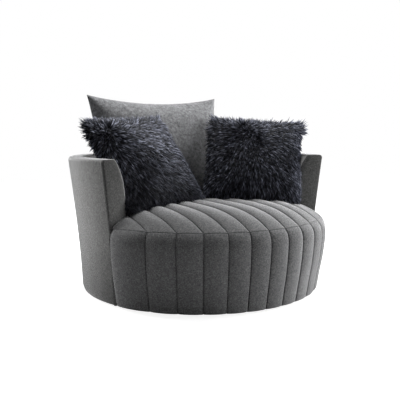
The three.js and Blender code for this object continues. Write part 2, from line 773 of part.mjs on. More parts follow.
// Loose cushions: a crowned pillow whose corners point and whose sides are drawn in
function cushion({ width, height, thick, taper, sag, grid, fullShare }) {
  const [columns, rows] = grid;
  const place = (share) => Math.sin((share * Math.PI) / 2);
  const points = [];
  const indexOf = new Map();
  const put = (i, j, side) => {
    const edge = i === 0 || j === 0 || i === columns || j === rows;
    const key = edge ? `${i},${j}` : `${i},${j},${side}`;
    if (!indexOf.has(key)) {
      const u = place((2 * i) / columns - 1);
      const v = place((2 * j) / rows - 1);
      const x = (width / 2) * u * (1 - drawShare * (1 - v * v)) * (1 + taper * v);
      const dip = v > 0 ? sag * v * (1 - u * u) : 0;
      const z = (height / 2) * v * (1 - drawShare * (1 - u * u)) - dip;
      const swell = edge ? 0 : ((1 - u * u) * (1 - v * v)) ** fullShare * (1 - slumpShare * v);
      indexOf.set(key, points.length);
      points.push([x, (side * thick * swell) / 2, z]);
    }
    return indexOf.get(key);
  };
  const triangles = [];
  for (const side of [-1, 1]) {
    for (let i = 0; i < columns; i += 1) {
      for (let j = 0; j < rows; j += 1) {
        const ring = [put(i, j, side), put(i + 1, j, side), put(i + 1, j + 1, side), put(i, j + 1, side)];
        const [a, b, c, d] = side < 0 ? ring : [...ring].reverse();
        const rising = (i < columns / 2) === (j < rows / 2);
        if (rising) triangles.push([a, b, c], [a, c, d]);
        else triangles.push([a, b, d], [b, c, d]);
      }
    }
  }
  return closedMesh(points, triangles);
}

// Turns a cushion to its lean and place, then lowers it until it rests on the deck
function stand(geometry, height, deck, [across, back], { yaw, lean, roll }) {
  geometry.translate(0, 0, height / 2);
  geometry.rotateY(radians(-roll));
  geometry.rotateX(radians(-lean));
  geometry.rotateZ(radians(yaw));
  geometry.translate(across * innerRadius, back * innerRadius, rimHeight);
  geometry.translate(0, 0, seatGap - heightAbove(geometry, deck));
  return geometry;
}

// The least height of a cushion's lower edges above the deck, measured along each edge
function heightAbove(geometry, deck) {
  const places = geometry.getAttribute('position');
  const index = geometry.getIndex().array;
  geometry.computeBoundingBox();
  const limit = geometry.boundingBox.min.z + crownRise;
  const ray = new THREE.Raycaster();
  const down = new THREE.Vector3(0, 0, -1);
  const [a, b] = [new THREE.Vector3(), new THREE.Vector3()];
  let least = Infinity;
  index.forEach((from, i) => {
    const to = index[i % 3 === 2 ? i - 2 : i + 1];
    a.fromBufferAttribute(places, from);
    b.fromBufferAttribute(places, to);
    if (from > to || Math.min(a.z, b.z) > limit) return;
    for (let k = 0; k <= edgeSamples; k += 1) {
      ray.set(a.clone().lerp(b, k / edgeSamples), down);
      const [hit] = ray.intersectObject(deck);
      if (hit) least = Math.min(least, hit.distance);
    }
  });
  return least;
}

function buildCushions(deck) {
  const backHeight = backHeightShare * innerRadius;
  const back = cushion({
    width: backWidthShare * innerRadius,
    height: backHeight,
    thick: backThickShare * innerRadius,
    taper: backTaperShare,
    sag: backSagShare * innerRadius,
    grid: backGrid,
    fullShare: backFullShare,
  });
  add('back_cushion', stand(back, backHeight, deck, backPlaceShares, backPose), cushionWeave);

  const side = pillowSideShare * innerRadius;
  const pillows = {
    left_fur_pillow: [leftPlaceShares, leftPose],
    right_fur_pillow: [rightPlaceShares, rightPose],
  };
  for (const [name, [place, pose]] of Object.entries(pillows)) {
    const pillow = cushion({
      width: side,
      height: side,
      thick: pillowThickShare * innerRadius,
      taper: 0,
      sag: 0,
      grid: pillowGrid,
      fullShare: pillowFullShare,
    });
    add(name, stand(pillow, side, deck, place, pose), fur);
  }
}

buildPlinth();
buildBearing();
buildFixings();
buildRings();
buildPosts();
buildSwivelRails();
buildWebbing();
const deck = buildSeat();
buildBorder();
buildFrontBoard();
buildWrap();
buildFacings();
buildDustCover();
buildCushions(deck);

export default group;
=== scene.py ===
"""Dresses a round swivel cuddle chair: a channelled drum, a wrap-around back, a cushion and two fur pillows.

Everything is in metres in the frame's own axes: the front faces -Y and the swivel axis is Z.
A turn angle is measured on plan from the front, towards +X.
"""

from __future__ import annotations

import json
import logging
import math
import sys
from dataclasses import dataclass
from enum import Enum
from typing import Callable, Sequence, Union

import bmesh
import bpy
import numpy as np
from mathutils import Matrix, Vector, noise

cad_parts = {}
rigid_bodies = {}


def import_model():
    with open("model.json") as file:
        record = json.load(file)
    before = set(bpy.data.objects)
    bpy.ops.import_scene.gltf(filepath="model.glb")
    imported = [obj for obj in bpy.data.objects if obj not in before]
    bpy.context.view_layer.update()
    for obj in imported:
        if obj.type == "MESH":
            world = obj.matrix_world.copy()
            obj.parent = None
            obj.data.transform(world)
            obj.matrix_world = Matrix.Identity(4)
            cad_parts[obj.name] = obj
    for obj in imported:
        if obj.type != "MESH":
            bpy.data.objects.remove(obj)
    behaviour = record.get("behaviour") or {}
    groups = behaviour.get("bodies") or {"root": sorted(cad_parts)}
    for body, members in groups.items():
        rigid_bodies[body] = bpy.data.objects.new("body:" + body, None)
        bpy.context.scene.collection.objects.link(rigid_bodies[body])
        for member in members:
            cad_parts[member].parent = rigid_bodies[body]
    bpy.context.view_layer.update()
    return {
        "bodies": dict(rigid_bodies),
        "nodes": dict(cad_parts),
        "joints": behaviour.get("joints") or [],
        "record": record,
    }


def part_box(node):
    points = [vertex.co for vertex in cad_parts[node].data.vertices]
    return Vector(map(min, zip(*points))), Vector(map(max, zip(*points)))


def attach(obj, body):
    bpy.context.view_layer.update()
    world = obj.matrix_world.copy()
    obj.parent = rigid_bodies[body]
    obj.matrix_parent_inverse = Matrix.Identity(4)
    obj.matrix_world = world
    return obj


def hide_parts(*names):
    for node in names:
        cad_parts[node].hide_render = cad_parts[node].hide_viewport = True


log = logging.getLogger("cuddle_chair")

MM = 0.001
Colour = tuple[float, float, float]
Triple = tuple[float, float, float]
EVEN: Triple = (1.0, 1.0, 1.0)


# Sizes shared by several pieces


@dataclass(frozen=True)
class Chair:
    """The chair's own sizes, as its frame has them."""

    drum_radius: float = 0.620
    seam_height: float = 0.3715
    crown_rise: float = 0.079
    crown_power: float = 5.28
    belly_proud: float = 0.035
    belly_heights: tuple[float, ...] = (0, 0.1, 0.25, 0.45, 0.62, 0.76, 0.88, 0.96, 1)
    belly_shares: tuple[float, ...] = (-0.29, -0.09, 0.17, 0.52, 0.77, 0.88, 0.8, 0.45, 0)
    belly_degree: int = 6
    foot_height: float = 0.014
    channel_count: int = 12
    channel_inset: float = 0.0506
    channel_depth: float = 0.013
    channel_power: float = 0.55
    seam_pinch: float = 0.3
    deck_thick: float = 0.029
    deck_lip: float = 0.005
    border_thick: float = 0.013
    rim_height: float = 0.672
    arm_angle: float = math.radians(67.4)
    wrap_inset: float = 0.018
    wrap_flare: float = 0.060
    flare_power: float = 1.4
    rim_round: float = 0.016
    rim_width: float = 0.079
    back_inset: float = 0.099
    inner_power: float = 3.5
    straight_rise: float = 0.018
    pad_tuck: float = 0.074
    cover_thick: float = 0.009
    facing_thick: float = 0.015
    gap: float = 0.0003
    sew_gap: float = 0.0012

    @property
    def inner_radius(self) -> float:
        """The inside of the back at the deck."""
        return self.drum_radius - self.back_inset

    @property
    def channel_pitch(self) -> float:
        """The space between two stitched lines."""
        return 2 * (self.drum_radius - self.channel_inset) / self.channel_count

    def wrap_radius(self, z: np.ndarray | float) -> np.ndarray | float:
        """Finds the radius of the wrap's outside at heights above the floor."""
        share = np.clip((z - self.foot_height) / (self.rim_height - self.foot_height), 0, 1)
        return self.drum_radius - self.wrap_inset + self.wrap_flare * share**self.flare_power

    def inside_radius(self, z: np.ndarray | float) -> np.ndarray | float:
        """Finds the inside of the wrap.

        Args:
            z: Heights above the floor.

        Returns:
            The radius at each height.
        """
        start = self.seam_height + self.straight_rise
        rim = self.drum_radius - self.wrap_inset + self.wrap_flare - self.rim_width
        share = np.clip((z - start) / (self.rim_height - start), 0, 1)
        return self.inner_radius + (rim - self.inner_radius) * share**self.inner_power

    def channel_share(self, x: np.ndarray) -> np.ndarray:
        """Finds how far across its channel each place lies, from 0 to 1."""
        return x / self.channel_pitch - np.floor(x / self.channel_pitch)

    def fullness(self, x: np.ndarray) -> np.ndarray:
        """Finds how full a channel is at each place: one in its middle, none at its stitched lines."""
        return np.maximum(1 - (2 * self.channel_share(x) - 1) ** 2, 0) ** self.channel_power

    def line_distance(self, x: np.ndarray) -> np.ndarray:
        """Finds the distance from each place to its nearest stitched line."""
        share = self.channel_share(x)
        return np.minimum(share, 1 - share) * self.channel_pitch

    def on_plan(self, radius: np.ndarray | float, angle: np.ndarray | float) -> tuple:
        """Turns a radius and a turn angle into X and Y."""
        return radius * np.sin(angle), -radius * np.cos(angle)


# Shader graphs written as Python


class Value:
    """A socket of a shader graph, so that maths on it reads as maths."""

    def __init__(self, graph: "Graph", socket: bpy.types.NodeSocket) -> None:
        """Keeps the graph and the socket."""
        self.graph, self.socket = graph, socket

    def __add__(self, other: "Number") -> "Value":
        """Adds."""
        return self.graph.math("ADD", self, other)

    __radd__ = __add__

    def __sub__(self, other: "Number") -> "Value":
        """Subtracts."""
        return self.graph.math("SUBTRACT", self, other)

    def __rsub__(self, other: "Number") -> "Value":
        """Subtracts from a number."""
        return self.graph.math("SUBTRACT", other, self)

    def __mul__(self, other: "Number") -> "Value":
        """Multiplies."""
        return self.graph.math("MULTIPLY", self, other)

    def __pow__(self, other: "Number") -> "Value":
        """Raises to a power."""
        return self.graph.math("POWER", self, other)

    def clamp(self) -> "Value":
        """Keeps the value between 0 and 1."""
        return self.graph.math("MINIMUM", self.graph.math("MAXIMUM", self, 0.0), 1.0)


Number = Union[float, Value]


class Graph:
    """The node graph of a material or of the world."""

    MIX_INPUTS = (0, 6, 7)
    MIX_RESULT = 2
    NOISE_ROUGHNESS = 0.55
    NOISE_MIDDLE = 0.5
    NOISE_SPAN = 2.6

    def __init__(self, owner: Union[bpy.types.Material, bpy.types.World]) -> None:
        """Empties the owner's graph.

        Args:
            owner: The material or world.
        """
        owner.use_nodes = True
        self.owner = owner
        self.tree = owner.node_tree
        self.tree.nodes.clear()
        self._place: Union[Value, None] = None

    @classmethod
    def material(cls, name: str) -> "Graph":
        """Makes a new material's graph."""
        return cls(bpy.data.materials.new(name))

    def node(self, kind: str, settings: dict | None = None, sockets: dict | None = None) -> bpy.types.Node:
        """Adds one node.

        Args:
            kind: The node's type.
            settings: Its own settings, set first.
            sockets: Values or links, by socket name or number.

        Returns:
            The node.
        """
        made = self.tree.nodes.new(kind)
        for key, setting in (settings or {}).items():
            setattr(made, key, setting)
        for key, given in (sockets or {}).items():
            self.feed(made.inputs[key], given)
        return made

    def feed(self, target: bpy.types.NodeSocket, given: Union[Number, Colour]) -> None:
        """Links a value to a socket, or sets the socket.

        Args:
            target: The socket that is fed.
            given: A value, a number or a colour.
        """
        if isinstance(given, Value):
            self.tree.links.new(given.socket, target)
        elif isinstance(given, tuple) and target.type == "RGBA":
            target.default_value = (*given, 1)
        else:
            target.default_value = given

    def value(self, kind: str, settings: dict | None, sockets: dict | None, output: str | int = 0) -> Value:
        """Adds one node and wraps one of its outputs."""
        return Value(self, self.node(kind, settings, sockets).outputs[output])

    def math(self, operation: str, a: Number, b: Number = 0.0) -> Value:
        """Adds a Math node."""
        return self.value("ShaderNodeMath", {"operation": operation}, {0: a, 1: b})

    def mix(self, factor: Number, a: Union[Value, Colour], b: Union[Value, Colour]) -> Value:
        """Mixes two colours.

        Args:
            factor: The share of the second.
            a: The first colour.
            b: The second colour.

        Returns:
            The mixed colour.
        """
        sockets = dict(zip(self.MIX_INPUTS, (factor, a, b)))
        return self.value("ShaderNodeMix", {"data_type": "RGBA"}, sockets, self.MIX_RESULT)

    def shade(self, colour: Union[Value, Colour], amount: Value) -> Value:
        """Brightens or darkens a colour by a factor.

        Args:
            colour: The colour.
            amount: The factor, about 1.

        Returns:
            The shaded colour.
        """
        return self.value("ShaderNodeVectorMath", {"operation": "SCALE"}, {0: colour, "Scale": amount})

    def place(self, stretch: Triple = EVEN) -> Value:
        """Reads Object coordinates, stretched.

        Args:
            stretch: The factor along each axis.

        Returns:
            The coordinates.
        """
        if self._place is None:
            self._place = self.value("ShaderNodeTexCoord", None, None, "Object")
        if stretch == EVEN:
            return self._place
        return self.value("ShaderNodeMapping", None, {"Vector": self._place, "Scale": stretch})

    def noise(self, size: float, detail: float = 2.0, stretch: Triple = EVEN) -> Value:
        """Adds noise about zero.

        Args:
            size: The width of its features.
            detail: How many finer layers it has.
            stretch: The factor on the coordinates along each axis.

        Returns:
            The noise, from about -1 to 1.
        """
        sockets = {"Vector": self.place(stretch), "Scale": 1 / size, "Detail": detail}
        made = self.value("ShaderNodeTexNoise", None, sockets | {"Roughness": self.NOISE_ROUGHNESS}, "Fac")
        return (made - self.NOISE_MIDDLE) * self.NOISE_SPAN

    def attribute(self, name: str, output: str = "Fac") -> Value:
        """Reads one of the mesh's own attributes."""
        return self.value("ShaderNodeAttribute", {"attribute_name": name}, None, output)

    def bump(self, height: Value, distance: float, strength: float = 1.0) -> Value:
        """Turns heights into a normal.

        Args:
            height: The heights, about 0 to 1.
            distance: How far 1 stands out.
            strength: The effect's strength.

        Returns:
            The normal.
        """
        sockets = {"Height": height, "Distance": distance, "Strength": strength}
        return self.value("ShaderNodeBump", None, sockets)

    def principled(self, **sockets: Union[Number, Colour]) -> bpy.types.Material:
        """Ends the graph with a Principled shader.

        Args:
            sockets: Its sockets, with underscores for spaces.

        Returns:
            The finished material.
        """
        named = {key.replace("_", " "): given for key, given in sockets.items()}
        shader = self.node("ShaderNodeBsdfPrincipled", None, named)
        self.node("ShaderNodeOutputMaterial", None, {"Surface": Value(self, shader.outputs[0])})
        return self.owner


# Finishes


@dataclass(frozen=True)
class WeaveFinish:
    """A heathered chenille weave: nubs of paler and darker yarn, a brushed nap, darkening by a seam mark that
    is partly dark thread and partly painted shade, and painted light and shade that may change with height.
    """

    name: str
    colour: Colour
    nub: float = 3.4 * MM
    grain: float = 7 * MM
    grain_depth: float = 0.2
    heather: float = 0.4
    fibre_share: float = 0.4
    fibre_depth: float = 0.1
    drift: float = 0.14
    drift_depth: float = 0.05
    gap_middle: float = 0.4
    gap_depth: float = 0.5
    fleck_from: float = 0.3
    fleck_edge: float = 5.0
    fleck_depth: float = 0.18
    fleck_pale: float = 2.0
    nap: Triple = EVEN
    seam_thread_and_painted_shade: float = 0.0
    foot_painted_shading: float = 1.0
    upper_painted_shading: float = 1.0
    painted_shading_height: float = 0.4
    relief: float = 1.3 * MM

    def build(self) -> bpy.types.Material:
        """Makes the weave's material.

        Returns:
            The material.
        """
        graph = Graph.material(self.name)
        yarn = graph.node("ShaderNodeTexVoronoi", {"feature": "F1"},
                          {"Vector": graph.place(self.nap), "Scale": 1 / self.nub, "Randomness": 1.0})
        gap = Value(graph, yarn.outputs["Distance"])
        dye = graph.node("ShaderNodeSeparateColor", None, {"Color": Value(graph, yarn.outputs["Color"])})
        dyed = Value(graph, dye.outputs[0]) - 0.5
        grain = graph.noise(self.grain, 2.0, self.nap)
        fibre = graph.noise(self.nub * self.fibre_share, 1.0)
        tone = 1.0 + dyed * self.heather + grain * self.grain_depth + fibre * self.fibre_depth
        tone = tone + graph.noise(self.drift) * self.drift_depth - (gap - self.gap_middle) * self.gap_depth
        # Darkens where the seam mark lies: the dark stitch thread, with painted shade in the stitched creases
        # and on the strip below each facing.
        if self.seam_thread_and_painted_shade:
            tone = tone * (1.0 - graph.attribute("seam") * self.seam_thread_and_painted_shade)
        # Painted light and shade by height: the wrap darker towards its foot, the left facing lighter low
        # down and darker at its top.
        if self.foot_painted_shading != self.upper_painted_shading:
            tone = tone * self.fall(graph)
        fleck = ((dyed - self.fleck_from) * self.fleck_edge).clamp() * self.fleck_depth
        pale = graph.mix(fleck, self.colour, tuple(min(1.0, part * self.fleck_pale) for part in self.colour))
        height = (1.0 - gap) * 0.8 + fibre * 0.12 + grain * 0.12
        return graph.principled(
            Base_Color=graph.shade(pale, tone),
            Roughness=0.95,
            Specular_IOR_Level=0.12,
            Sheen_Weight=1.0,
            Sheen_Roughness=0.3,
            Sheen_Tint=(0.98, 0.98, 1.0),
            Normal=graph.bump(height, self.relief, 0.8),
        )

    def fall(self, graph: Graph) -> Value:
        """Finds the painted light and shade at each height, as a factor on the cloth's colour, from the foot
        up to where it stays the same.

        Args:
            graph: The weave's graph.

        Returns:
            The factor, below one for painted shade and above one for painted light.
        """
        height = graph.value("ShaderNodeSeparateXYZ", None, {"Vector": graph.place()}, "Z")
        rise = (height * (1 / self.painted_shading_height)).clamp()
        return rise * (self.upper_painted_shading - self.foot_painted_shading) + self.foot_painted_shading


@dataclass(frozen=True)
class FurFinish:
    """Long pile, dark at its roots and pale at its tips.

    The pile attribute holds each point's share of its lock's length, the lock's tone, which carries painted
    highlight and painted shade, and its clump's tone.
    """

    name: str
    root: Colour = (0.002, 0.0022, 0.0032)
    middle: Colour = (0.0075, 0.0082, 0.0125)
    tip: Colour = (0.38, 0.40, 0.50)
    every_tip: float = 0.005
    lock_tips: float = 0.9
    lock_contrast: float = 4.0
    clump_tips: float = 0.05
    tip_reach: float = 1.5
    darkest: float = 0.15
    lock_depth: float = 0.9
    clump_depth: float = 0.35

    def build(self) -> bpy.types.Material:
        """Makes the pile's material.

        Returns:
            The material.
        """
        graph = Graph.material(self.name)
        parts = graph.node("ShaderNodeSeparateColor", None, {"Color": graph.attribute("pile", "Color")})
        along, lock_tone, clump_tone = (Value(graph, parts.outputs[i]) for i in range(3))
        lower = graph.mix((along * 2.0).clamp(), self.root, self.middle)
        # Locks with a pale tone, as along the painted highlight at the pillow's top and outer side, get paler
        # tips.
        chosen = lock_tone ** self.lock_contrast * self.lock_tips + clump_tone * self.clump_tips
        paleness = (along * self.tip_reach).clamp() * (self.every_tip + chosen)
        tone = self.darkest + lock_tone * self.lock_depth + clump_tone * self.clump_depth
        return graph.principled(
            Base_Color=graph.shade(graph.mix(paleness, lower, self.tip), tone),
            Roughness=0.38 + lock_tone * 0.12,
            Specular_IOR_Level=0.12,
        )


@dataclass(frozen=True)
class FurSkinFinish:
    """The woven backing that the pile grows from."""

    name: str
    colour: Colour = (0.007, 0.0075, 0.0095)
    grain: float = 1.6 * MM

    def build(self) -> bpy.types.Material:
        """Makes the backing's material.

        Returns:
            The material.
        """
        graph = Graph.material(self.name)
        roots = graph.noise(self.grain)
        return graph.principled(
            Base_Color=graph.shade(self.colour, 1.0 + roots * 0.4),
            Roughness=0.9,
            Specular_IOR_Level=0.1,
            Normal=graph.bump(roots, 1.0 * MM, 0.8),
        )


@dataclass(frozen=True)
class PlywoodFinish:
    """Birch plywood: pale faces with long grain, and darker plies seen on the edges."""

    name: str
    pale: Colour = (0.55, 0.40, 0.24)
    dark: Colour = (0.38, 0.25, 0.13)

    def build(self) -> bpy.types.Material:
        """Makes the plywood's material.

        Returns:
            The material.
        """
        graph = Graph.material(self.name)
        grain = graph.noise(9 * MM, 4.0, (0.08, 1.0, 1.0))
        plies = graph.value("ShaderNodeTexWave", {"bands_direction": "Z"},
                            {"Vector": graph.place(), "Scale": 90.0, "Distortion": 0.6}, "Fac")
        face = graph.mix((grain * 0.5 + 0.5).clamp(), self.pale, self.dark)
        colour = graph.mix((plies - 0.55).clamp() * 0.5, face, self.dark)
        return graph.principled(
            Base_Color=colour,
            Roughness=0.62 + grain * 0.06,
            Specular_IOR_Level=0.3,
            Normal=graph.bump(grain, 0.3 * MM, 0.4),
        )


@dataclass(frozen=True)
class SteelFinish:
    """Zinc-plated steel with a fine rolled grain."""

    name: str
    colour: Colour = (0.48, 0.50, 0.53)

    def build(self) -> bpy.types.Material:
        """Makes the steel's material.

        Returns:
            The material.
        """
        graph = Graph.material(self.name)
        rolled = graph.noise(2.5 * MM, 2.0, (0.06, 1.0, 1.0))
        spangle = graph.noise(14 * MM, 1.0)
        return graph.principled(
            Base_Color=graph.shade(self.colour, 1.0 + spangle * 0.08 + rolled * 0.04),
            Metallic=1.0,
            Roughness=0.36 + rolled * 0.06 + spangle * 0.05,
            Normal=graph.bump(rolled, 0.1 * MM, 0.3),
        )


@dataclass(frozen=True)
class ThreadFinish:
    """A plain woven strip or sheet, of flat ribs both ways."""

    name: str
    colour: Colour
    pitch: float = 1.6 * MM
    waves: float = 314.0
    roughness: float = 0.85

    def build(self) -> bpy.types.Material:
        """Makes the strip's material.

        Returns:
            The material.
        """
        graph = Graph.material(self.name)
        sockets = {"Vector": graph.place(), "Scale": self.waves * MM / self.pitch, "Distortion": 0.2}
        ribs = [graph.value("ShaderNodeTexWave", {"bands_direction": axis}, sockets, "Fac")
                for axis in ("X", "Y")]
        weave = ribs[0] * 0.5 + ribs[1] * 0.5
        wear = graph.noise(20 * MM)
        return graph.principled(
            Base_Color=graph.shade(self.colour, 0.75 + weave * 0.5 + wear * 0.08),
            Roughness=self.roughness,
            Specular_IOR_Level=0.2,
            Normal=graph.bump(weave, 0.4 * MM, 0.6),
        )


@dataclass(frozen=True)
class MouldedFinish:
    """Moulded nylon or cut foam: one colour with a fine open grain."""

    name: str
    colour: Colour
    cell: float
    roughness: float
    depth: float

    def build(self) -> bpy.types.Material:
        """Makes the material.

        Returns:
            The material.
        """
        graph = Graph.material(self.name)
        cells = graph.noise(self.cell)
        stain = graph.noise(60 * MM)
        return graph.principled(
            Base_Color=graph.shade(self.colour, 1.0 + cells * 0.08 + stain * 0.06),
            Roughness=self.roughness + cells * 0.05,
            Specular_IOR_Level=0.3,
            Normal=graph.bump(cells, self.depth, 0.5),
        )


# Mesh helpers

Placer = Callable[[np.ndarray, np.ndarray], np.ndarray]
Profile = Sequence[tuple[float, float]]
CREASE = 50
SOFT_CREASE = 70
SAME_PLACE = 1e-6
SEAM_PLACE = 1e-5


def grid_surface(across: int, up: int, place: Placer) -> bmesh.types.BMesh:
    """Makes a grid and moves each of its points.

    Args:
        across: How many faces it has across.
        up: How many faces it has up.
        place: Gives points from column and row numbers, each an array.

    Returns:
        The moved grid.
    """
    bm = bmesh.new()
    bmesh.ops.create_grid(bm, x_segments=across, y_segments=up, size=1.0)
    flat = np.array([vert.co for vert in bm.verts])
    columns = np.rint((flat[:, 0] + 1) / 2 * across).astype(int)
    rows = np.rint((flat[:, 1] + 1) / 2 * up).astype(int)
    for vert, point in zip(bm.verts, place(columns, rows)):
        vert.co = point
    return bm


def turned(profile: Profile, start: float, sweep: float, steps: int) -> bmesh.types.BMesh:
    """Turns a line of radii and heights round the swivel axis.

    Args:
        profile: The line, as radius and height.
        start: The turn angle at which it starts.
        sweep: How far it turns.
        steps: How many faces it has round.

    Returns:
        The turned surface.
    """
    bm = bmesh.new()
    verts = [bm.verts.new((radius * math.sin(start), -radius * math.cos(start), z)) for radius, z in profile]
    edges = [bm.edges.new(pair) for pair in zip(verts, verts[1:])]
    bmesh.ops.spin(bm, geom=verts + edges, cent=(0, 0, 0), axis=(0, 0, 1), dvec=(0, 0, 0), angle=sweep,
                   steps=steps, use_merge=False, use_duplicate=False)
    return bm


def facing_away(bm: bmesh.types.BMesh, centre: Vector) -> None:
    """Turns an open surface so that its normals point away from a place.

    Args:
        bm: The surface.
        centre: A place behind it.
    """
    bmesh.ops.recalc_face_normals(bm, faces=list(bm.faces))
    votes = sum(face.normal.dot(face.calc_center_median() - centre) * face.calc_area() for face in bm.faces)
    if votes < 0:
        bmesh.ops.reverse_faces(bm, faces=list(bm.faces))


def finished(
    name: str, bm: bmesh.types.BMesh, material: bpy.types.Material, crease: float = CREASE
) -> bpy.types.Object:
    """Turns a closed bmesh into a shown object.

    Args:
        name: The piece's name.
        bm: Its mesh, freed here.
        material: Its finish.
        crease: The angle in degrees from which an edge stays sharp.

    Returns:
        The object.
    """
    bmesh.ops.remove_doubles(bm, verts=list(bm.verts), dist=SAME_PLACE)
    bmesh.ops.recalc_face_normals(bm, faces=list(bm.faces))
    mesh = bpy.data.meshes.new(name)
    bm.to_mesh(mesh)
    bm.free()
    mesh.shade_smooth()
    mesh.set_sharp_from_angle(angle=math.radians(crease))
    mesh.materials.append(material)
    made = bpy.data.objects.new(name, mesh)
    bpy.context.scene.collection.objects.link(made)
    return made


def points_of(mesh: bpy.types.Mesh) -> np.ndarray:
    """Reads a mesh's points.

    Args:
        mesh: The mesh.

    Returns:
        One row for each point.
    """
    flat = np.empty(len(mesh.vertices) * 3, np.float32)
    mesh.vertices.foreach_get("co", flat)
    return flat.reshape(-1, 3).astype(float)


def move_points(mesh: bpy.types.Mesh, points: np.ndarray) -> None:
    """Writes an array back to a mesh's points.

    Args:
        mesh: The mesh.
        points: One row for each point.
    """
    mesh.vertices.foreach_set("co", points.astype(np.float32).ravel())
    mesh.update()


def write_attribute(mesh: bpy.types.Mesh, name: str, values: np.ndarray) -> None:
    """Stores one number for each point.

    Args:
        mesh: The mesh.
        name: The attribute's name.
        values: One number for each point.
    """
    attribute = mesh.attributes.new(name, "FLOAT", "POINT")
    attribute.data.foreach_set("value", values.astype(np.float32))


def verts_in(geometry: list) -> list[bmesh.types.BMVert]:
    """Picks the vertices out of what an operator gives back."""
    return [item for item in geometry if isinstance(item, bmesh.types.BMVert)]


def near(distance: np.ndarray, width: float) -> np.ndarray:
    """Gives one at a line, falling smoothly to none over about a width."""
    return np.exp(-((distance / width) ** 2))


def ramp(values: np.ndarray, start: float, reach: float) -> np.ndarray:
    """Gives none up to a start, rising to one at a reach beyond it."""
    return np.clip((values - start) / reach, 0, 1)


def unit(vectors: np.ndarray) -> np.ndarray:
    """Scales each vector to a length of one."""
    return vectors / np.maximum(np.linalg.norm(vectors, axis=-1, keepdims=True), 1e-12)


def soft_noise(points: np.ndarray, size: float, seed: float = 0.0) -> np.ndarray:
    """Samples smooth noise at points.

    Args:
        points: The places.
        size: The width of its features.
        seed: Moves the noise to another part of its field.

    Returns:
        A value from about -1 to 1 for each point.
    """
    return np.array([noise.noise(Vector(point) / size + Vector((seed, seed, seed))) for point in points])


def bake_modifiers(made: bpy.types.Object) -> None:
    """Applies an object's modifiers.

    Args:
        made: The object.
    """
    graph = bpy.context.evaluated_depsgraph_get()
    mesh = bpy.data.meshes.new_from_object(made.evaluated_get(graph), depsgraph=graph)
    made.modifiers.clear()
    made.data = mesh


# The drum seat


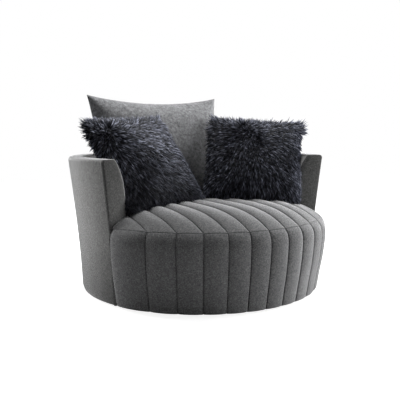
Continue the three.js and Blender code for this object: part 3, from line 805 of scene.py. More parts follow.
@dataclass
class DrumSeat:
    """The channelled deck and the channelled border round its front."""

    chair: Chair
    weave: bpy.types.Material
    samples: tuple[float, ...] = (
        0, 0.012, 0.03, 0.06, 0.11, 0.18, 0.28, 0.4, 0.5, 0.6, 0.72, 0.82, 0.89, 0.94, 0.97, 0.988)
    end_places_mm: tuple[float, ...] = (5, 3, 1.8, 0.8, 0.25)
    deck_rows: int = 84
    border_rows: int = 60
    crease_depth: float = 2.4 * MM
    crease_width: float = 2.1 * MM
    pucker: float = 0.22 * MM
    pucker_pitch: float = 24 * MM
    pucker_reach: float = 4
    pucker_shift: float = 1.7
    pucker_drift: float = 31
    end_round: float = 13 * MM
    foot_roll: float = 7 * MM
    top_roll: float = 4 * MM
    top_fall: float = 2 * MM
    top_drop: float = 1 * MM
    # The dark thread and painted shade along the stitched edge between deck and border:
    edge_width: float = 2.5 * MM
    edge_shade: float = 0.8
    deck_reach: float = 0.9995
    wall: float = 7 * MM
    plan_reach: float = 1.1
    plan_steps: tuple[int, int] = (49, 181)
    plan_floor: float = 0.2
    plan_height: float = 0.5

    def columns(self, reach: float) -> np.ndarray:
        """Gives places across the drum, closest together at the stitched lines.

        Args:
            reach: The outermost place on each side.

        Returns:
            The places along X.
        """
        half = self.chair.channel_count // 2 + 1
        starts = np.arange(-half, half)[:, None]
        places = ((starts + np.array(self.samples)) * self.chair.channel_pitch).ravel()
        return np.r_[-reach, places[np.abs(places) < reach - 1 * MM], reach]

    def crease(self, x: np.ndarray, along: np.ndarray) -> np.ndarray:
        """Finds how far the stitching pulls the cover in beside its lines.

        Args:
            x: Places across the drum.
            along: Places along the stitched lines.

        Returns:
            The depth at each place.
        """
        distance = self.chair.line_distance(x)
        line = np.rint(x / self.chair.channel_pitch)
        waves = along / self.pucker_pitch * 2 * math.pi + line * self.pucker_shift
        ripple = np.sin(waves + np.sin(along * self.pucker_drift + line))
        pull = near(distance, self.crease_width * self.pucker_reach)
        return self.crease_depth * near(distance, self.crease_width) + self.pucker * ripple * pull

    def deck_points(self, x: np.ndarray, row_share: np.ndarray) -> np.ndarray:
        """Places the deck's top.

        Args:
            x: Each point's place across.
            row_share: Its share of the way from the front edge to the back, -1 to 1.

        Returns:
            The points.
        """
        chair = self.chair
        y = row_share * np.sqrt(np.maximum(chair.drum_radius**2 - x**2, 0))
        share = np.minimum(np.hypot(x, y) / chair.drum_radius, 1)
        dome = chair.seam_height + chair.crown_rise * (1 - share**chair.crown_power)
        hold = 1 - (1 - chair.seam_pinch) * share ** (2 * chair.crown_power)
        depth = chair.channel_depth * hold * (1 - chair.fullness(x)) + self.crease(x, y) * hold
        return np.stack([x, y, dome - depth], 1)

    def mark_seam_thread_and_shade(self, piece: bpy.types.Object, across: np.ndarray, edge: np.ndarray) -> None:
        """Stores how near each point is to a stitched line or to the stitched edge, where the weave darkens
        for the dark thread and for painted shade in the crease.

        Args:
            piece: The cover.
            across: Each point's place across the drum.
            edge: Its distance from the edge between deck and border.
        """
        # The mark darkens the thread line and paints shade into the crease beside it.
        line = near(self.chair.line_distance(across), self.crease_width)
        write_attribute(piece.data, "seam", np.maximum(line, near(edge, self.edge_width) * self.edge_shade))

    def build_deck(self) -> bpy.types.Object:
        """Makes the deck and trims it to the bowl inside the back and arms.

        Returns:
            The deck.
        """
        chair = self.chair
        columns = self.columns(chair.drum_radius * self.deck_reach)
        rows = np.sin(np.linspace(-1, 1, self.deck_rows + 1) * math.pi / 2)
        bm = grid_surface(len(columns) - 1, self.deck_rows,
                          lambda i, j: self.deck_points(columns[i], rows[j]))
        inset = 1 - chair.border_thick / chair.drum_radius
        self.drop_edge(bm, 1.0, chair.seam_height - chair.deck_lip)
        self.drop_edge(bm, inset, chair.seam_height - chair.deck_lip)
        rim = self.drop_edge(bm, 1.0, chair.seam_height - chair.deck_thick)
        bmesh.ops.contextual_create(bm, geom=rim)
        deck = finished("seat_deck_cover", bm, self.weave)
        self.trim(deck)
        points = points_of(deck.data)
        self.mark_seam_thread_and_shade(deck, points[:, 0], chair.drum_radius - np.hypot(points[:, 0], points[:, 1]))
        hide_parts("seat_deck")
        return deck

    def drop_edge(self, bm: bmesh.types.BMesh, scale: float, z: float) -> list:
        """Carries the open edge of the deck on to a lower ring.

        Args:
            bm: The deck's mesh.
            scale: The new ring's size on plan against the old one.
            z: The new ring's height.

        Returns:
            The new ring's edges.
        """
        made = bmesh.ops.extrude_edge_only(bm, edges=[edge for edge in bm.edges if edge.is_boundary])["geom"]
        for vert in verts_in(made):
            vert.co = (vert.co.x * scale, vert.co.y * scale, z)
        return [edge for edge in bm.edges if edge.is_boundary]

    def trim(self, deck: bpy.types.Object) -> None:
        """Cuts the deck to its plan: the front arc between the arm ends, then the arc inside the back.

        Args:
            deck: The full round deck.
        """
        chair = self.chair
        front, back = chair.drum_radius * self.plan_reach, chair.inner_radius - chair.sew_gap
        front_end = chair.arm_angle - chair.sew_gap / front
        back_end = chair.arm_angle - chair.sew_gap / back
        front_steps, back_steps = self.plan_steps
        turns = [(front, angle) for angle in np.linspace(-front_end, front_end, front_steps)]
        turns += [(back, angle) for angle in np.linspace(back_end, 2 * math.pi - back_end, back_steps)]
        bm = bmesh.new()
        verts = [bm.verts.new((*chair.on_plan(radius, angle), self.plan_floor)) for radius, angle in turns]
        top = bmesh.ops.extrude_face_region(bm, geom=[bm.faces.new(verts)])["geom"]
        bmesh.ops.translate(bm, vec=(0, 0, self.plan_height), verts=verts_in(top))
        cutter = finished("deck_plan", bm, self.weave)
        cut = deck.modifiers.new("plan", "BOOLEAN")
        cut.operation, cut.solver, cut.object = "INTERSECT", "EXACT", cutter
        bake_modifiers(deck)
        bpy.data.objects.remove(cutter)

    def belly(self, share: np.ndarray) -> np.ndarray:
        """Finds how far out the border stands at each share of its height."""
        fit = np.polyfit(self.chair.belly_heights, self.chair.belly_shares, self.chair.belly_degree)
        return np.polyval(fit, share)

    def border_points(self, x: np.ndarray, share: np.ndarray, reach: float) -> np.ndarray:
        """Places the border's face.

        Args:
            x: Each point's place across.
            share: Its share of the way up.
            reach: The border's end on each side, as a turn angle.

        Returns:
            The points.
        """
        chair = self.chair
        top = chair.seam_height - self.top_drop
        angle = np.arcsin(np.clip(x / chair.drum_radius, -1, 1))
        z = chair.foot_height + (top - chair.foot_height) * share
        belly = self.belly(share)
        hold = np.sqrt(np.clip(belly, chair.seam_pinch, 1))
        radius = chair.drum_radius + chair.belly_proud * belly
        radius -= chair.channel_depth * (1 - chair.fullness(x)) * hold
        radius -= self.crease(x, z)
        radius -= rolled(z - chair.foot_height, self.foot_roll)
        radius -= rolled((reach - np.abs(angle)) * chair.drum_radius, self.end_round)
        radius -= rolled(top - z, self.top_roll, self.top_fall)
        return np.stack([*chair.on_plan(radius, angle), z], 1)

    def build_border(self) -> bpy.types.Object:
        """Makes the border round the front of the drum.

        Returns:
            The border.
        """
        chair = self.chair
        reach = chair.arm_angle - chair.sew_gap / chair.drum_radius
        inner = self.columns(math.sin(reach) * chair.drum_radius)
        inner = np.r_[inner, (inner[1:] + inner[:-1]) / 2]
        ends = math.sin(reach) * chair.drum_radius - np.array(self.end_places_mm) * MM
        columns = np.sort(np.r_[inner, ends, -ends])
        rows = (1 - np.cos(np.linspace(0, 1, self.border_rows + 1) * math.pi)) / 2
        bm = grid_surface(len(columns) - 1, self.border_rows,
                          lambda i, j: self.border_points(columns[i], rows[j], reach))
        facing_away(bm, Vector((0, 0, chair.seam_height / 2)))
        bmesh.ops.solidify(bm, geom=list(bm.faces), thickness=self.wall)
        border = finished("front_border_cover", bm, self.weave)
        points = points_of(border.data)
        across = points[:, 0] / np.hypot(points[:, 0], points[:, 1]) * chair.drum_radius
        self.mark_seam_thread_and_shade(border, across, chair.seam_height - points[:, 2])
        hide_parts("front_border")
        return border

    def build(self) -> None:
        """Makes both covers and gives them to the chair's body."""
        for piece in (self.build_deck(), self.build_border()):
            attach(piece, "chair")
            report(piece)


def rolled(distance: np.ndarray, reach: float, depth: float | None = None) -> np.ndarray:
    """Finds how far a rounded edge falls back.

    Args:
        distance: How far each place is from the edge.
        reach: How wide the rounding is.
        depth: How far the edge itself falls back, as far as it is wide if not given.

    Returns:
        The fall at each place.
    """
    inside = 1 - np.clip(distance / reach, 0, 1)
    return (reach if depth is None else depth) * (1 - np.sqrt(1 - inside**2))


def report(piece: bpy.types.Object) -> None:
    """Logs a finished piece.

    Args:
        piece: The piece.
    """
    triangles = sum(len(polygon.vertices) - 2 for polygon in piece.data.polygons)
    log.info("%s: %d triangles", piece.name, triangles)


# The back and arms


@dataclass
class WrapBack:
    """The outside cover with its rim, the inside pad and the facing on each arm end."""

    chair: Chair
    weave: bpy.types.Material
    # The facings' cloth: a darker copy of the cover's, as painted shade on the arm ends.
    facing_weaves: dict["Side", bpy.types.Material]
    steps: int = 200
    wall: float = 6 * MM
    slack: float = 1.3 * MM
    slack_size: float = 0.13
    seam_depth: float = 1.6 * MM
    slack_squash: float = 0.6
    slack_turn: float = 0.15
    slack_rise: float = 0.05
    seam_width: float = 2.2 * MM
    thread_width: float = 1.6 * MM
    outer_share: float = 0.75
    rows: int = 40
    rim_steps: int = 9
    lip_steps: int = 6
    lip_share: float = 0.9
    foot_round: float = 5 * MM
    rim_crown: float = 0.4 * MM
    pad_round: float = 4 * MM
    pad_turn: float = 0.3
    pad_steps: int = 4
    facing_grid: tuple[int, int] = (28, 60)
    facing_round: float = 26 * MM
    facing_drop: float = 12 * MM
    facing_crown: float = 4 * MM
    facing_least: float = 1 * MM
    crown_power: float = 0.8
    crown_rise: float = 0.06
    welt_round: float = 5 * MM
    strip_rows: int = 12
    strip_overlap: float = 2 * MM

    @property
    def start(self) -> float:
        """The turn angle at which the wrap starts, behind the facing."""
        return self.chair.arm_angle + (self.chair.facing_thick + self.chair.gap) / self.chair.drum_radius

    def cover_profile(self) -> Profile:
        """Draws the outside cover from its foot up and over the rim.

        Returns:
            Radii and heights.
        """
        chair = self.chair
        shoulder = chair.rim_height - chair.rim_round
        heights = np.linspace(chair.foot_height, shoulder, self.rows)
        radii = chair.wrap_radius(heights) - rolled(heights - chair.foot_height, self.foot_round)
        line = list(zip(radii.tolist(), heights.tolist()))
        centre = float(chair.wrap_radius(shoulder)) - chair.rim_round
        line += [(centre + chair.rim_round * math.cos(turn), shoulder + chair.rim_round * math.sin(turn))
                 for turn in np.linspace(0, math.pi / 2, self.rim_steps)[1:]]
        inner = float(chair.inside_radius(chair.rim_height))
        lip = chair.cover_thick * self.lip_share
        across = inner + lip - centre
        line += [(centre + across * share, chair.rim_height + self.rim_crown * math.sin(share * math.pi))
                 for share in np.linspace(0, 1, self.rim_steps)[1:-1]]
        line += [(inner + lip * (1 - math.sin(turn)), chair.rim_height - lip * (1 - math.cos(turn)))
                 for turn in np.linspace(0, math.pi / 2, self.lip_steps)]
        return line

    def pad_profile(self) -> Profile:
        """Draws the inside pad from behind the deck up to the rim.

        Returns:
            Radii and heights.
        """
        chair = self.chair
        top = chair.rim_height - chair.cover_thick - chair.gap
        heights = np.linspace(chair.seam_height - chair.pad_tuck, top - self.pad_round, self.rows)
        line = list(zip(chair.inside_radius(heights).tolist(), heights.tolist()))
        edge = float(chair.inside_radius(top))
        return line + [(edge + self.pad_round * math.sin(turn), top - self.pad_round * (1 - math.sin(turn)))
                       for turn in np.linspace(self.pad_turn, math.pi / 2, self.pad_steps)]

    def relax(self, piece: bpy.types.Object, seed: float) -> None:
        """Lets a tight cover fall in and out a little, and draws it in at its middle seam.

        Args:
            piece: The cover.
            seed: Chooses the waves.
        """
        chair = self.chair
        points = points_of(piece.data)
        radius = np.hypot(points[:, 0], points[:, 1])
        angle = np.arctan2(points[:, 0], -points[:, 1])
        fade = ramp(np.abs(angle), chair.arm_angle, self.slack_turn)
        fade *= ramp(points[:, 2], chair.foot_height, self.slack_rise)
        wave = soft_noise(points * [1, 1, self.slack_squash], self.slack_size, seed) * self.slack * fade
        behind = (math.pi - np.abs(angle)) * radius
        seam = self.seam_depth * near(behind, self.seam_width)
        side = np.where(radius > chair.inner_radius + chair.rim_width * self.outer_share, 1.0, -1.0)
        scale = (radius + wave - 0.5 * self.slack - seam * side) / radius
        points[:, :2] *= scale[:, None]
        move_points(piece.data, points)
        write_attribute(piece.data, "seam", near(behind, self.thread_width))

    def build_round(
        self, name: str, node: str, profile: Profile, inwards: bool, seed: float
    ) -> bpy.types.Object:
        """Makes one cover that goes round the back and arms.

        Args:
            name: The piece's name.
            node: The CAD node it stands for.
            profile: Its radii and heights.
            inwards: True if its face looks at the sitter.
            seed: Chooses its waves.

        Returns:
            The cover.
        """
        sweep = 2 * math.pi - 2 * self.start
        bm = turned(profile, self.start, sweep, self.steps)
        facing_away(bm, Vector((0, 0, profile[0][1])))
        if inwards:
            bmesh.ops.reverse_faces(bm, faces=list(bm.faces))
        bmesh.ops.solidify(bm, geom=list(bm.faces), thickness=self.wall)
        piece = finished(name, bm, self.weave)
        self.relax(piece, seed)
        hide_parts(node)
        return piece

    def facing_depth(self, across: np.ndarray, width: np.ndarray, below: np.ndarray) -> np.ndarray:
        """Finds how far back a facing's front lies.

        Args:
            across: Each point's distance from the inner edge.
            width: The facing's width there.
            below: Its distance below the rim.

        Returns:
            The depth behind the arm's end plane.
        """
        share = across / width
        swell = (4 * share * (1 - share)) ** self.crown_power * ramp(below, 0, self.crown_rise) ** 0.5
        crown = self.facing_crown * (1 - swell)
        inner = rolled(across, self.facing_round, self.facing_drop)
        outer = rolled(width - across, self.welt_round)
        top = rolled(below, self.welt_round)
        return np.minimum(crown + inner + outer + top, self.chair.facing_thick - self.facing_least)

    def facing_points(self, share: np.ndarray, z: np.ndarray, sign: int) -> np.ndarray:
        """Places a facing's front.

        Args:
            share: Each point's share of the way from the inner edge to the outer one.
            z: Its height.
            sign: 1 on the right arm and -1 on the left.

        Returns:
            The points.
        """
        chair = self.chair
        shoulder = chair.rim_height - chair.rim_round
        over = ramp(z, shoulder, chair.rim_round)
        outer = chair.wrap_radius(np.minimum(z, shoulder)) - chair.rim_round * (1 - np.sqrt(1 - over**2))
        inner = chair.inside_radius(z)
        radius = inner + (outer - inner) * share
        depth = self.facing_depth((outer - inner) * share, outer - inner, chair.rim_height - z)
        angle = sign * (chair.arm_angle + depth / chair.drum_radius)
        return np.stack([*chair.on_plan(radius, angle), z], 1)

    def build_facing(self, side: "Side") -> bpy.types.Object:
        """Makes the padded panel on one arm end, with the narrow strip below it.

        Args:
            side: Which arm.

        Returns:
            The facing.
        """
        chair = self.chair
        columns, rows = self.facing_grid
        across = (1 - np.cos(np.linspace(0, 1, columns + 1) * math.pi)) / 2
        bottom = chair.seam_height - chair.deck_thick
        up = bottom + (chair.rim_height - bottom) * np.sin(np.linspace(0, 1, rows + 1) * math.pi / 2)
        bm = grid_surface(columns, rows, lambda i, j: self.facing_points(across[i], up[j], side.value))
        back = chair.arm_angle + chair.facing_thick / chair.drum_radius
        made = bmesh.ops.extrude_edge_only(bm, edges=[edge for edge in bm.edges if edge.is_boundary])["geom"]
        for vert in verts_in(made):
            radius = math.hypot(vert.co.x, vert.co.y)
            vert.co = (*chair.on_plan(radius, side.value * back), vert.co.z)
        bmesh.ops.contextual_create(bm, geom=[edge for edge in bm.edges if edge.is_boundary])
        self.add_strip(bm, bottom, side.value)
        piece = finished(f"arm_facing_{side.name.lower()}_cover", bm, self.facing_weaves[side])
        # Marks the strip below the panel, which the weave darkens as painted shade in the gap beside the
        # border.
        write_attribute(piece.data, "seam", points_of(piece.data)[:, 2] < bottom - self.strip_overlap / 2)
        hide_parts(f"arm_facing_{side.name.lower()}")
        return piece

    def add_strip(self, bm: bmesh.types.BMesh, top: float, sign: int) -> None:
        """Adds the strip that runs from a facing down to the floor beside the border.

        Args:
            bm: The facing's mesh.
            top: The strip's top.
            sign: 1 on the right arm and -1 on the left.
        """
        chair = self.chair
        made = bmesh.ops.create_grid(bm, x_segments=1, y_segments=self.strip_rows, size=1.0)["verts"]
        faces = list({face for vert in made for face in vert.link_faces})
        grown = bmesh.ops.extrude_face_region(bm, geom=faces)["geom"]
        back = verts_in(grown)
        for verts, depth in ((made, 0.0), (back, chair.facing_thick)):
            angle = sign * (chair.arm_angle + depth / chair.drum_radius)
            for vert in verts:
                z = chair.foot_height + (top + self.strip_overlap - chair.foot_height) * (vert.co.y + 1) / 2
                outer = float(chair.wrap_radius(z))
                inner = float(chair.wrap_radius(chair.foot_height)) - chair.cover_thick
                radius = inner + (outer - inner) * (vert.co.x + 1) / 2
                vert.co = (*chair.on_plan(radius, angle), z)

    def build(self) -> None:
        """Makes the covers and gives them to the chair's body."""
        outside = self.build_round("outside_cover_weave", "outside_cover", self.cover_profile(),
                                   inwards=False, seed=3.0)
        inside = self.build_round("inside_back_weave", "inside_back_pad", self.pad_profile(),
                                  inwards=True, seed=11.0)
        pieces = [outside, inside] + [self.build_facing(side) for side in Side]
        for piece in pieces:
            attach(piece, "chair")
            report(piece)


class Side(Enum):
    """The two arms, with the sign of their turn angle."""

    LEFT = -1
    RIGHT = 1


# Loose cushions


@dataclass
class Cushion:
    """A crowned cushion with pointed corners and a knife edge, standing on the deck."""

    name: str
    node: str
    width: float
    height: float
    thick: float
    place: tuple[float, float]
    yaw: float
    lean: float
    roll: float = 0.0
    draw: float = 0.05
    slump: float = 0.2
    taper: float = 0.0
    sag: float = 0.0
    full: float = 0.6
    blunt: float = 0.0
    across: int = 40
    up: int = 40
    spread: float = 0.96
    probes: int = 41

    def local(self, u: np.ndarray, v: np.ndarray, side: float) -> np.ndarray:
        """Places points on the cushion before it is stood up.

        Args:
            u: Shares across, -1 to 1.
            v: Shares up, -1 to 1.
            side: -1 for its front and 1 for its back.

        Returns:
            The points.
        """
        x = self.width / 2 * u * (1 - self.draw * (1 - v * v) - self.blunt * v**8) * (1 + self.taper * v)
        dip = self.sag * np.maximum(v, 0) * (1 - u * u)
        z = self.height / 2 * v * (1 - self.draw * (1 - u * u) - self.blunt * u**8) - dip
        bulge = np.maximum((1 - u * u) * (1 - v * v), 0) ** self.full * (1 - self.slump * v)
        return np.stack([x, side * self.thick / 2 * bulge, z], 1)

    def stood(self) -> Matrix:
        """Finds the move from the cushion's own axes to where it stands, not yet lowered.

        Returns:
            The move.
        """
        turn = Matrix.Rotation(math.radians(self.yaw), 4, "Z")
        turn = turn @ Matrix.Rotation(math.radians(-self.lean), 4, "X")
        turn = turn @ Matrix.Rotation(math.radians(-self.roll), 4, "Y")
        return Matrix.Translation((*self.place, 0)) @ turn @ Matrix.Translation((0, 0, self.height / 2))

    def settle(self) -> Matrix:
        """Lowers the stood cushion to the height that its CAD node has.

        Returns:
            The whole move.
        """
        shares = np.linspace(-1, 1, self.probes)
        u, v = np.meshgrid(shares, shares)
        shell = np.concatenate([self.local(u.ravel(), v.ravel(), side) for side in (-1, 1)])
        move = self.stood()
        lowest = (shell @ np.array(move.to_3x3()).T + np.array(move.translation))[:, 2].min()
        return Matrix.Translation((0, 0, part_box(self.node)[0].z - lowest)) @ move

    def places(self, count: int) -> np.ndarray:
        """Gives shares from -1 to 1, closest together at the seam."""
        turn = math.pi / 2 * self.spread
        return np.sin(np.linspace(-1, 1, count + 1) * math.pi / 2 * self.spread) / math.sin(turn)

    def shell(self, shrink: float) -> bmesh.types.BMesh:
        """Makes the closed cushion in its own axes.

        Args:
            shrink: The share of its size that it starts with.

        Returns:
            The mesh.
        """
        u, v = self.places(self.across), self.places(self.up)
        whole = grid_surface(self.across, self.up, lambda i, j: self.local(u[i], v[j], -1) * shrink)
        other = grid_surface(self.across, self.up, lambda i, j: self.local(u[i], v[j], 1) * shrink)
        spare = bpy.data.meshes.new("spare")
        other.to_mesh(spare)
        other.free()
        whole.from_mesh(spare)
        bpy.data.meshes.remove(spare)
        bmesh.ops.remove_doubles(whole, verts=list(whole.verts), dist=SEAM_PLACE)
        bmesh.ops.recalc_face_normals(whole, faces=list(whole.faces))
        return whole


@dataclass(frozen=True)
class Filling:
    """How a closed cover is filled: its pressure, its spare cloth and the most that a point may move."""

    pressure: float
    spare: float
    most: float
    steps: int = 20
    stretch: float = 18
    shear: float = 6
    bend: float = 0.35
    damping: float = 4
    mass: float = 0.3
    quality: int = 6

    def add_cloth(self, made: bpy.types.Object, held: str) -> None:
        """Adds the cloth modifier.

        Args:
            made: The cover.
            held: The name of the points that stay.
        """
        cloth = made.modifiers.new("filling", "CLOTH")
        settings = cloth.settings
        settings.quality = self.quality
        settings.mass = self.mass
        settings.tension_stiffness = settings.compression_stiffness = self.stretch
        settings.shear_stiffness = self.shear
        settings.bending_stiffness = self.bend
        settings.air_damping = self.damping
        settings.use_pressure = True
        settings.uniform_pressure_force = self.pressure
        settings.shrink_min = -self.spare
        settings.vertex_group_mass = held
        settings.effector_weights.gravity = 0
        cloth.point_cache.frame_start, cloth.point_cache.frame_end = 1, self.steps

    def fill(self, made: bpy.types.Object) -> None:
        """Fills a closed cover by cloth simulation with its seam held, and applies it.

        Args:
            made: The cover, in its own axes, with its seam at y = 0.
        """
        scene = bpy.context.scene
        rest = points_of(made.data)
        held = made.vertex_groups.new(name="held")
        held.add(np.flatnonzero(np.abs(rest[:, 1]) < SEAM_PLACE).tolist(), 1.0, "REPLACE")
        self.add_cloth(made, held.name)
        for frame in range(1, self.steps + 1):
            scene.frame_set(frame)
        graph = bpy.context.evaluated_depsgraph_get()
        moved = points_of(made.evaluated_get(graph).data)
        made.modifiers.clear()
        made.vertex_groups.clear()
        scene.frame_set(1)
        step = moved - rest
        length = np.linalg.norm(step, axis=1, keepdims=True)
        move_points(made.data, rest + step * np.minimum(1, self.most / np.maximum(length, 1e-9)))


@dataclass
class BackCushion:
    """The large loose back cushion."""

    weave: bpy.types.Material
    cushion: Cushion
    filling: Filling = Filling(pressure=2.2, spare=0.006, most=22 * MM)

    def build(self) -> None:
        """Makes, fills and stands the cushion."""
        made = finished(self.cushion.name, self.cushion.shell(1.0), self.weave, SOFT_CREASE)
        self.filling.fill(made)
        finer = made.modifiers.new("finer", "SUBSURF")
        finer.levels = finer.render_levels = 1
        bake_modifiers(made)
        made.data.transform(self.cushion.settle())
        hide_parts(self.cushion.node)
        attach(made, "back_cushion")
        report(made)


def copies(template: bmesh.types.BMesh, name: str, count: int) -> bpy.types.Object:
    """Makes one mesh of many copies of a small shape, all in the same place.

    Args:
        template: The shape, freed here.
        name: The new object's name.
        count: How many copies.

    Returns:
        The object, its points in order of copy.
    """
    made = bpy.data.objects.new(name, bpy.data.meshes.new(name))
    template.to_mesh(made.data)
    template.free()
    bpy.context.scene.collection.objects.link(made)
    array = made.modifiers.new("copies", "ARRAY")
    array.count = count
    array.use_relative_offset = False
    array.use_constant_offset = True
    array.constant_offset_displace = (0, 0, 0)
    bake_modifiers(made)
    return made


@dataclass
class FurPillow:
    """A square pillow in long pile: its skin, and pointed locks on its front and its back.

    Each ramp is the share across or up at which it starts, and how far it takes to be full.
    """

    cushion: Cushion
    skin: bpy.types.Material
    fur: bpy.types.Material
    seed: int
    part_at: tuple[float, float]
    side_fall: float = 0.0
    # Painted shade on the pile's lower half.
    low_painted_shade: float = 0.0
    filling: Filling = Filling(pressure=3.0, spare=0.01, most=10 * MM)
    skin_share: float = 0.985
    front_locks: int = 9000
    back_locks: int = 7000
    outermost: float = 0.998
    rings: int = 3
    lock_length: float = 0.050
    length_spread: tuple[float, float] = (0.8, 1.1)
    clump_length: tuple[float, float] = (0.75, 0.35)
    lock_width: float = 2.3 * MM
    width_spread: tuple[float, float] = (0.7, 1.3)
    taper: tuple[float, ...] = (0.7, 1.0, 0.9, 0.0)
    width_way: Triple = (0.31, 0.12, 0.94)
    corner_growth: float = 0.35
    corner_trim: float = 0.3
    corner_power: int = 5
    side_trim: float = 0.4
    side_ramp: tuple[float, float] = (0.75, 0.25)
    lift_spread: tuple[float, float] = (0.4, 0.95)
    parting_lift: float = 0.6
    parting_reach: float = 0.3
    rise: tuple[float, float] = (1.25, 0.7)
    wander: float = 0.35
    wander_size: float = 0.11
    wander_seeds: tuple[int, int] = (31, 47)
    even_reach: float = 0.1
    droop: float = 0.35
    droop_ramp: tuple[float, float] = (0.6, 0.4)
    top_rise: float = 1.4
    top_ramp: tuple[float, float] = (0.8, 0.2)
    swirls: tuple[Triple, ...] = ((0.09, 0, 0.6), (0.03, 5, 0.3))
    clump_pitch: float = 0.0085
    clump_stray: float = 0.3
    clump_pull: float = 0.3
    clump_power: float = 1.3
    curl: float = 1.8 * MM
    tip_fall: float = 3 * MM
    body_tone: float = 0.96
    # Painted shade on the upper part, and painted highlight along the top and the outer side.
    high_painted_shade: float = 0.02
    high_painted_shade_ramp: tuple[float, float] = (0.1, 0.5)
    painted_highlight_tones: tuple[float, float] = (0.75, 1.0)
    painted_highlight_share: float = 0.7
    painted_highlight_ramp: tuple[float, float] = (0.7, 0.3)
    top_painted_highlight_ramp: tuple[float, float] = (0.92, 0.08)

    def build(self) -> None:
        """Makes the pillow's skin and its pile."""
        made = finished(self.cushion.name, self.cushion.shell(self.skin_share), self.skin, SOFT_CREASE)
        self.filling.fill(made)
        made.data.transform(self.cushion.settle())
        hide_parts(self.cushion.node)
        pieces = [made, self.pile("front", -1.0, self.front_locks), self.pile("back", 1.0, self.back_locks)]
        for piece in pieces:
            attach(piece, self.cushion.node)
            report(piece)

    def lock(self) -> bmesh.types.BMesh:
        """Makes the straight lock that all are bent from.

        Returns:
            The lock, one unit long and one in radius.
        """
        bm = bmesh.new()
        bmesh.ops.create_cone(bm, segments=3, radius1=1, radius2=0, depth=1, cap_ends=True)
        bmesh.ops.translate(bm, vec=(0, 0, 0.5), verts=list(bm.verts))
        bmesh.ops.remove_doubles(bm, verts=list(bm.verts), dist=SAME_PLACE)
        for ring in range(1, self.rings):
            whole = list(bm.verts) + list(bm.edges) + list(bm.faces)
            bmesh.ops.bisect_plane(bm, geom=whole, plane_co=(0, 0, ring / self.rings), plane_no=(0, 0, 1))
        bmesh.ops.recalc_face_normals(bm, faces=list(bm.faces))
        return bm

    def roots(self, rng: np.random.Generator, count: int) -> tuple[np.ndarray, np.ndarray]:
        """Scatters roots evenly over one face.

        Args:
            rng: The random source.
            count: About how many.

        Returns:
            Shares across and shares up.
        """
        side = int(math.sqrt(count))
        cells = (np.arange(side) + 0.5) / side * 2 - 1
        u, v = np.meshgrid(cells, cells)
        jitter = rng.uniform(-1, 1, (2, side * side)) / side
        scattered = np.stack([u.ravel(), v.ravel()]) + jitter
        return tuple(np.clip(scattered, -self.outermost, self.outermost))

    def pile(self, face: str, side: float, count: int) -> bpy.types.Object:
        """Makes the pile on one face.

        Args:
            face: The face's name.
            side: -1 for the front and 1 for the back.
            count: About how many locks.

        Returns:
            The pile.
        """
        rng = np.random.default_rng(self.seed + int(side))
        u, v = self.roots(rng, count)
        root = self.cushion.local(u, v, side) * self.skin_share
        step = 1e-3
        du = unit(self.cushion.local(u + step, v, side) - self.cushion.local(u - step, v, side))
        dv = unit(self.cushion.local(u, v + step, side) - self.cushion.local(u, v - step, side))
        normal = unit(np.cross(du, dv) * -side)
        flow, reach = self.flow(u, v, root)
        along = unit(du * flow[:, :1] + dv * flow[:, 1:])
        lift = rng.uniform(*self.lift_spread, len(u)) + self.parting_lift * near(reach, self.parting_reach)
        clump, clump_tone = self.clumps(rng, root)
        lengths = self.lengths(rng, u, v, clump_tone)
        path = self.paths(rng, root, normal * lift[:, None], along, np.cross(normal, along), lengths, clump)
        tone = self.tones(rng, u, v)
        return self.bend(f"{self.cushion.node}_pile_{face}", path, tone, clump_tone, rng)

    def lengths(
        self, rng: np.random.Generator, u: np.ndarray, v: np.ndarray, clump_tone: np.ndarray
    ) -> np.ndarray:
        """Finds each lock's length: by its clump, its corner and the trim down the side.

        Args:
            rng: The random source.
            u: Shares across.
            v: Shares up.
            clump_tone: The tone of each lock's clump.

        Returns:
            The lengths.
        """
        corner = np.where(v > 0, self.corner_growth * self.side_fall, -self.corner_trim)
        corner = corner * np.abs(u * v) ** self.corner_power
        corner -= self.side_trim * self.side_fall * ramp(u, *self.side_ramp) * (v < self.top_ramp[0])
        least, gain = self.clump_length
        spread = rng.uniform(*self.length_spread, len(u))
        return self.lock_length * spread * (least + gain * clump_tone) * (1 + corner)

    def tones(self, rng: np.random.Generator, u: np.ndarray, v: np.ndarray) -> np.ndarray:
        """Finds each lock's tone: mixed over the face, with painted highlight along the top and the outer
        side, and painted shade on the lower half and a little on the upper part.

        Args:
            rng: The random source.
            u: Shares across.
            v: Shares up.

        Returns:
            The tones.
        """
        # Painted highlight: paler locks along the top and the outer side, as if lit from behind.
        edge = np.maximum(ramp(u, *self.painted_highlight_ramp), ramp(v, *self.top_painted_highlight_ramp)) * self.painted_highlight_share
        # Painted shade on the lower half, and a little on the upper part.
        shade = self.low_painted_shade * np.clip(-v, 0, 1) + self.high_painted_shade * ramp(v, *self.high_painted_shade_ramp)
        body = rng.uniform(0, 1, len(u)) * (self.body_tone - shade)
        return body * (1 - edge) + rng.uniform(*self.painted_highlight_tones, len(u)) * edge

